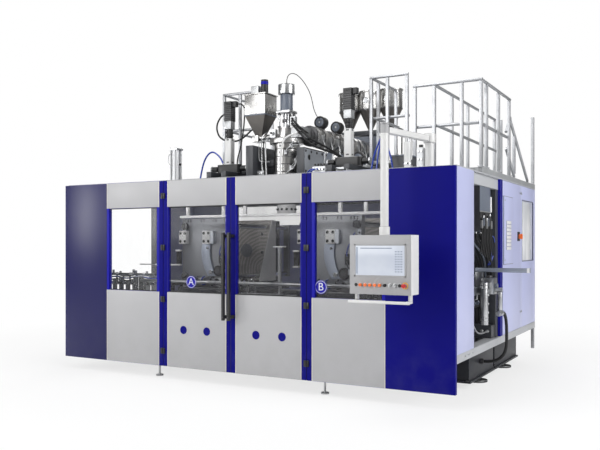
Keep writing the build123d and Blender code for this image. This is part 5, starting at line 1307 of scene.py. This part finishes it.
class ServiceDresser(bpy.types.Operator):
    """Service unit and the pipes in the side bay"""
    bl_idname = "machine.dress_service"
    bl_label = "Services"

    def execute(self, context):
        dress("service_unit", lambda c, s: (
            "slate" if c.z > 1700 else "arm" if s.x > 300 else "dark" if s.y > 400 else "silver"), 3)
        self.bay()
        return {"FINISHED"}

    def bay(self):
        """Valve plate, manifolds, hoses and pipes in the side bay."""
        work = Shape()
        work.box((2210, 2450), (926, 930), (1664, 2126), "gunmetal", 1)
        work.box((2449, 2453), (932, 1348), (1664, 1862), "black", 1)
        work.box((2448, 2454), (930, 1350), (1862, 1872), "alloy", 1)
        work.box((2436, 2452), (1352, 1398), (1868, 2036), "bright", 3)
        for k, y in enumerate(range(965, 1340, 62)):
            low = 1690 + 24 * (k % 3)
            work.box((2452, 2470), (y - 20, y + 20), (low, low + 84), ("alloy", "slate", "gunmetal")[k % 3],
                     3)
            work.rod(2461, y, (low + 84, low + 112), 11, "chrome" if k % 2 else "black", 20, 2)
            work.pipe(((2461, y, low), (2462, y + 6, 1640), (2448, y + 60, 1560 - 20 * k),
                       (2420, y + 90, 1440 - 16 * k)), 9, "rubber")
        work.box((2866, 2899.4), (1176, 1224), (1230, 1278), "bright", 3)
        work.box((2330, 2400), (1640, 1669), (1850, 1930), "white", 3)
        work.box((2260, 2310), (1640, 1669), (1560, 1780), "alloy", 3)
        for z in (1600, 1650, 1700, 1750):
            work.rod(2285, (1640, 1622), z, 11, "chrome", 20, 2)
        for k, x in enumerate((2236, 2270, 2304, 2338, 2372, 2406)):
            y = 1000 + 55 * (k % 3)
            work.rod(x, y, (1660, 1636), 15, "chrome", 20, 2)
            work.rod(x, y, (1640, 1616), 11, "black", 20, 2)
            work.pipe(((x, y, 1630), (x, y + 10, 1560), (x + 12, y + 120 + 25 * k, 1490),
                       (x + 16, 1420 + 12 * k, 1380), (x + 4, 1560, 1240),
                       (x - 10, 1610, 1000 - 60 * (k % 3)), (x - 10, 1612, 620)), (13, 10, 15, 11, 13, 9)[k],
                      ("rubber", "rubber", "rubber", "slate", "rubber", "rubber")[k])
        for x, dy, top in ((2420, 0, 1760), (2436, 70, 1600)):
            work.pipe(((x, 1350, top), (x + 6, 1420 + dy, top + 30), (x + 4, 1500 + dy, top - 40),
                       (x - 8, 1540 + dy, 1480), (x - 20, 1560, 1360), (x - 30, 1480, 1300)), 6, "air_blue")
        for z, key in ((1180, "silver"), (900, "chrome"), (840, "gunmetal")):
            work.rod(2250, (640, 1600), z, 17, key, 24, 3)
        for y in (760, 960, 1160, 1360, 1520):
            work.rod(2250, (y, y + 36), 880, 30, "slate", 6, 3)
            work.rod(2250, y + 18, (900, 1180), 10, "silver", 20, 2)
            work.rod(2250, y + 18, (1010, 1060), 20, "alloy", 6, 2)
        work.box((2120, 2440), (1420, 1640), (502, 640), "dark", 5)
        for x in (2180, 2260, 2340, 2400):
            work.rod(x, (1420, 1388), 580, 17, "silver", 24, 3)
        work.pipe(((2300, 700, 1020), (2330, 720, 1000), (2360, 760, 900), (2380, 900, 700),
                   (2390, 1100, 560), (2400, 1388, 580)), 9, "alloy")
        for z in (722, 760, 1060, 1098):
            work.turned((2475, 1010, z), (2475, 1010, z + 10), [(0, 40), (0.2, 42), (0.8, 42), (1, 40)],
                        "chrome", 32)
        for z in (820, 910, 1000):
            work.rod((2500, 2522), 1010, z, 12, "alloy", 20, 2)
        work.rod(2475, 1200, (1170, 1196), 34, "gunmetal", 32, 4)
        work.rod((2540, 2566), 1200, 1085, 30, "slate", 32, 4)
        work.done("bay_fittings", "machine", "bright_steel")


def route(start, reach, shares):
    return [at(*(a + r * s for a, r, s in zip(start, reach, place))) for place in shares]


class CordDresser(bpy.types.Operator):
    """Sensor wire, motor cable and service hose"""
    bl_idname = "machine.lay_cords"
    bl_label = "Cords"

    def execute(self, context):
        cords = (
            ("head_sensor_wire", 0.009, 0.933, "limp", "rubber",
             route((0, 1200, 3496.3), (200, 489.7, -376.3), (
                (0, 0, 0), (0, 0, -0.148), (0.21, -0.008, -0.286), (0.6, 0, -0.27), (0.95, 0.057, -0.095),
                (1.14, 0.184, 0.123), (1.19, 0.337, 0.336), (1.13, 0.49, 0.548), (1.04, 0.633, 0.761),
                (1, 0.796, 0.92), (1, 0.899, 1), (1, 1, 1)))),
            ("blow_motor_cable", 0.018, 0.856, "medium", "rubber",
             route((-727.7, 1200, 3305), (120, -28, -764.7), (
                (0, 0, 0), (0.4225, 0, 0), (0.788, 0.071, 0.0332), (1, 0.179, 0.0906), (0.998, 0.286, 0.179),
                (0.956, 0.429, 0.348), (0.829, 0.714, 0.528), (0.618, 0.929, 0.706), (0.392, 1, 0.837),
                (0.181, 0.893, 0.922), (0.153, 0.857, 1)))),
            ("service_hose", 0.034, 0.868, "medium", "rubber",
             route((2588.3, 1260.3, 800), (-243, 219.7, -560), (
                (0, 0, 0), (0, 0.431, 0), (0, 0.804, 0.0848), (0, 1.0205, 0.232), (-0.007, 1.036, 0.464),
                (0.0053, 1.027, 0.745), (0.2214, 1.018, 0.907), (0.5955, 1.0045, 1), (1, 1, 1)))),
        )
        for node, diameter, length, stiffness, key, points in cords:
            piece = spline_object(node + "_line", points, diameter / 2, 4)
            piece.data.materials.append(finish_of(key))
            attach(piece, "machine")
            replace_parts(piece, node)
            tuple(points[0])
        return {"FINISHED"}


class StageBuilder(bpy.types.Operator):
    """Floor, studio light, background and camera"""
    bl_idname = "machine.build_stage"
    bl_label = "Stage"

    def execute(self, context):
        scene = context.scene
        scene.view_settings.view_transform = "Standard"
        self.floor(scene)
        self.room(scene)
        self.lamps(scene)
        self.camera(scene)
        return {"FINISHED"}

    def floor(self, scene):
        floor_mesh = bpy.data.meshes.new("studio_floor")
        corners = [(x * FLOOR_HALF, y * FLOOR_HALF, 0) for x, y in ((-1, -1), (1, -1), (1, 1), (-1, 1))]
        floor_mesh.from_pydata(corners, [], [(0, 1, 2, 3)])
        floor = bpy.data.objects.new("studio_floor", floor_mesh)
        scene.collection.objects.link(floor)
        f = Finish("studio_floor")
        cloud = f.noise(0.4, 2.0)
        matt = f.add("BsdfDiffuse", {}, {"Color": f.mix(cloud, (0.84, 0.84, 0.84), (0.86, 0.86, 0.86))})
        glow = f.add("Emission", {}, {"Color": (1.0, 1.0, 1.0), "Strength": 1.0})
        seen = f.add("LightPath", out="Is Camera Ray")
        away = f.soft(f.add("VectorMath", {"operation": "LENGTH"}, {0: f.place()}, out="Value"), 3.0, 7.5)
        both = f.add("MixShader", {}, {0: seen * (0.7 + away * 0.3), 1: matt, 2: glow})
        f.tree.links.new(both.socket, f.output.inputs["Surface"])
        floor_mesh.materials.append(f.material)

    def room(self, scene):
        world = bpy.data.worlds.new("studio")
        scene.world = world
        w = Finish("studio", world)
        toward = w.add("TexCoord", out="Generated")
        height = w.add("SeparateXYZ", {}, {0: toward}, out="Z")
        panels = w.soft(w.noise(1.7, 1.0, toward), 0.42, 0.58)
        room = (0.14 + w.soft(height, -0.1, 0.9) * 0.36) * (0.45 + panels * 1.1)
        seen = w.add("LightPath", out="Is Camera Ray")
        through = w.add("LightPath", out="Is Transmission Ray")
        shown = w.add("Math", {"operation": "MAXIMUM"}, {0: seen, 1: through})
        back = w.add("Background", {}, {"Color": (1.0, 1.0, 1.0), "Strength": room + shown * (1 - room)})
        w.tree.links.new(back.socket, w.output.inputs["Surface"])

    def lamps(self, scene):
        lamps = (
            ("side_softbox", (8.5, -1.0, 4.2), (0.5, 0.2, 1.3), (5.0, 5.0), 410),
            ("front_softbox", (-2.5, -9.0, 5.0), (0.0, -1.0, 1.3), (6.0, 6.0), 400),
            ("top_softbox", (0.0, -1.5, 8.5), (0.0, 0.0, 2.0), (5.0, 5.0), 280),
            ("left_softbox", (-8.7, -7.8, 3.4), (-2.35, -1.55, 1.9), (2.6, 2.6), 170),
            ("work_light", (-0.21, -1.4, 2.14), (-0.21, -0.5, 1.5), (3.5, 0.1), 9),
            ("rear_softbox", (-3.0, 8.0, 5.0), (0.0, 0.5, 1.5), (6.0, 6.0), 360),
        )
        for name, place, aim, size, power in lamps:
            data = bpy.data.lights.new(name, "AREA")
            data.energy = power
            data.shape = "RECTANGLE"
            data.size, data.size_y = size
            lamp = bpy.data.objects.new(name, data)
            lamp.location = place
            lamp.rotation_euler = (Vector(aim) - Vector(place)).to_track_quat("-Z", "Y").to_euler()
            scene.collection.objects.link(lamp)

    def camera(self, scene):
        camera_data = bpy.data.cameras.new("photo_camera")
        camera_data.sensor_width = 36
        camera_data.lens = 44.16
        camera_data.shift_y = 0.0325
        camera = bpy.data.objects.new("photo_camera", camera_data)
        camera.location = (4.302, -8.125, 1.523)
        camera.rotation_euler = (math.radians(90), 0, math.radians(29.1))
        scene.collection.objects.link(camera)
        scene.camera = camera


STEPS = (StageBuilder, CordDresser, StructureDresser, FrontDresser, CabinetDresser, HeadDresser,
         ExtruderDresser, StationDresser, PanelDresser, ServiceDresser)


class MachinePanel(bpy.types.Panel):
    """Lists the steps that dress the machine"""
    bl_idname = "VIEW3D_PT_machine"
    bl_label = "Blow moulding machine"
    bl_space_type = "VIEW_3D"
    bl_region_type = "UI"
    bl_category = "Machine"

    def draw(self, context):
        for group in (context.scene.machine_colours, context.scene.machine_sizes):
            for label in group.bl_rna.properties.keys():
                if label not in ("rna_type", "name"):
                    self.layout.prop(group, label)
        for step in STEPS:
            self.layout.operator(step.bl_idname)


CLASSES = (MachineColours, MachineSizes, *STEPS, MachinePanel)


def register():
    for item in CLASSES:
        bpy.utils.register_class(item)
    bpy.types.Scene.machine_colours = PointerProperty(type=MachineColours)
    bpy.types.Scene.machine_sizes = PointerProperty(type=MachineSizes)


def unregister():
    del bpy.types.Scene.machine_sizes
    del bpy.types.Scene.machine_colours
    for item in reversed(CLASSES):
        bpy.utils.unregister_class(item)


def main():
    register()
    for step in STEPS:
        area, name = step.bl_idname.split(".")
        getattr(getattr(bpy.ops, area), name)()


if __name__ == "__main__":
    main()
